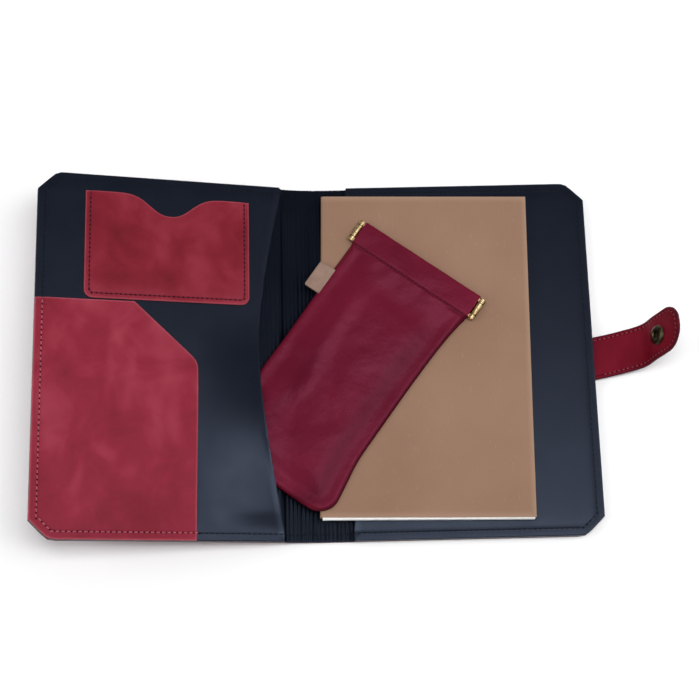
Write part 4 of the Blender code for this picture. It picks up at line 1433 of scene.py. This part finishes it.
def add_tab(made):
    """A folded loop of undyed leather sewn into the pouch's side seam."""
    reach, root = -10.0, 2.4
    t_low, t_high = 37.5, 56.5
    levels = (14.35, 15.65)
    fold_radius = (levels[1] - levels[0]) / 2
    path = [(s, levels[1]) for s in spaced(root, reach + fold_radius, 0.9)]
    centre = (reach + fold_radius, sum(levels) / 2)
    for angle in np.linspace(90, 270, 9)[1:-1]:
        turn = math.radians(angle)
        path.append(
            (centre[0] + fold_radius * math.cos(turn), centre[1] + fold_radius * math.sin(turn))
        )
    path += [(s, levels[0]) for s in spaced(reach + fold_radius, root, 0.9)]
    path = np.array(path)
    insets = (0.0, 0.08, 0.3, 0.8)
    ts = [t_low + inset for inset in insets] + spaced(t_low + 0.8, t_high - 0.8, 1.2)[1:-1]
    ts = np.array(ts + [t_high - inset for inset in reversed(insets)])
    corner = np.clip(1.6 - np.minimum(ts - t_low, t_high - ts), 0, 1.6)
    shorter = 1.6 - np.sqrt(1.6**2 - corner**2)
    s = np.maximum(path[None, :, 0], reach + shorter[:, None])
    t = np.tile(ts[:, None], (1, len(path)))
    z = np.tile(path[None, :, 1], (len(ts), 1))
    apart = np.minimum(t - t_low, t_high - t)
    z = z + np.sign(sum(levels) / 2 - z) * round_drop(apart, 0.3) * 0.8
    sheet = np.dstack([s, t, z])
    rows, width = sheet.shape[:2]
    faces = grid_quads(rows, width)
    index = np.arange(rows * width).reshape(rows, width)
    for line in (index[0], index[-1]):
        half = width // 2
        for k in range(half - (1 - width % 2)):
            faces.append([int(line[at]) for at in (k, k + 1, width - 2 - k, width - 1 - k)])
    for k in range(rows - 1):
        faces.append([int(index[k, 0]), int(index[k + 1, 0]), int(index[k + 1, -1]), int(index[k, -1])])
    tab_edge = edge_falloff(np.minimum(apart, s - reach), 0.35).ravel()
    tab = add_piece("pouch_tab_skin", sheet.reshape(-1, 3), faces, made["suede"], lay_pouch, tab_edge)
    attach(tab, "pouch")
    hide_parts("pouch_tab")


# ---------------------------------------------------------------- carried parts


def dress(node, material, bevel=0.0):
    """Gives a CAD part its finished material and, if asked, softened edges."""
    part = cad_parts[node]
    if not part.material_slots:
        part.data.materials.append(material)
    for entry in part.material_slots:
        entry.link = "OBJECT"
        entry.material = material
    if bevel:
        modifier = part.modifiers.new("softened edges", "BEVEL")
        modifier.width = bevel * MM
        modifier.segments = 2
        modifier.limit_method = "ANGLE"
        modifier.angle_limit = math.radians(50)


def dress_carried_parts(made):
    for node in ("back_stiffener", "front_stiffener"):
        dress(node, made["board"])
    for node in ("flex_strip_front", "flex_strip_back", "frame_pin_left", "frame_pin_right"):
        dress(node, made["brass"], 0.12)
    for node in ("snap_socket", "snap_cap", "snap_stud", "snap_stud_rivet"):
        dress(node, made["antique"], 0.1)


# ---------------------------------------------------------------- studio


CAMERA_PLACE = (-0.0888, -0.2382, 0.9185)
CAMERA_TURN = (15.0, -0.51, -1.46)
CAMERA_LENS = 76.12


def add_camera():
    """The camera stands above the spine and a little in front of the case."""
    data = bpy.data.cameras.new("camera")
    data.lens = CAMERA_LENS
    data.sensor_width = 36.0
    camera = bpy.data.objects.new("camera", data)
    camera.location = CAMERA_PLACE
    camera.rotation_euler = [math.radians(angle) for angle in CAMERA_TURN]
    bpy.context.scene.collection.objects.link(camera)
    bpy.context.scene.camera = camera


def add_light(name, place, target, size, power):
    data = bpy.data.lights.new(name, "AREA")
    data.shape = "RECTANGLE"
    data.size, data.size_y = size
    data.energy = power
    light = bpy.data.objects.new(name, data)
    light.location = place
    light.rotation_mode = "QUATERNION"
    light.rotation_quaternion = (Vector(target) - Vector(place)).to_track_quat("-Z", "Y")
    bpy.context.scene.collection.objects.link(light)


def add_studio():
    """A pale floor, a broad lamp overhead towards the viewer and soft light all round."""
    world = bpy.data.worlds.new("studio")
    world.use_nodes = True
    shade = world.node_tree.nodes["Background"]
    shade.inputs["Color"].default_value = (0.93, 0.96, 1.0, 1.0)
    shade.inputs["Strength"].default_value = 0.28
    bpy.context.scene.world = world
    add_light("overhead", (0.2, -0.06, 1.5), (0.2, -0.06, 0.0), (1.1, 0.42), 15.0)
    add_light("left", (-1.7, 0.0, 1.3), (0.0, 0.0, 0.0), (1.4, 1.4), 13.0)
    add_light("right", (1.7, 0.0, 1.3), (0.0, 0.0, 0.0), (1.4, 1.4), 11.0)
    add_light("behind", (0.0, 1.9, 1.2), (0.0, 0.0, 0.0), (1.6, 1.0), 5.5)

    size = 6.0
    corners = [(-size, -size), (size, -size), (size, size), (-size, size)]
    mesh = bpy.data.meshes.new("floor")
    mesh.from_pydata([(x, y, -0.0002) for x, y in corners], [], [(0, 1, 2, 3)])
    material = bpy.data.materials.new("floor")
    material.use_nodes = True
    shader = material.node_tree.nodes["Principled BSDF"]
    shader.inputs["Base Color"].default_value = (0.94, 0.94, 0.94, 1.0)
    shader.inputs["Roughness"].default_value = 0.9
    shader.inputs["Specular IOR Level"].default_value = 0.0
    mesh.materials.append(material)
    floor = bpy.data.objects.new("floor", mesh)
    bpy.context.scene.collection.objects.link(floor)
    bpy.context.scene.view_settings.view_transform = "Standard"


# ---------------------------------------------------------------- build


def main():
    add_camera()
    add_studio()
    made = make_materials()
    add_outer_leather(made)
    add_lining(made)
    add_sleeve_panels(made)
    add_pockets(made)
    add_case_stitches(made)
    add_card_stitches(made)
    add_strap(made)
    add_notebook(made)
    add_pouch(made)
    add_tab(made)
    dress_carried_parts(made)


main()
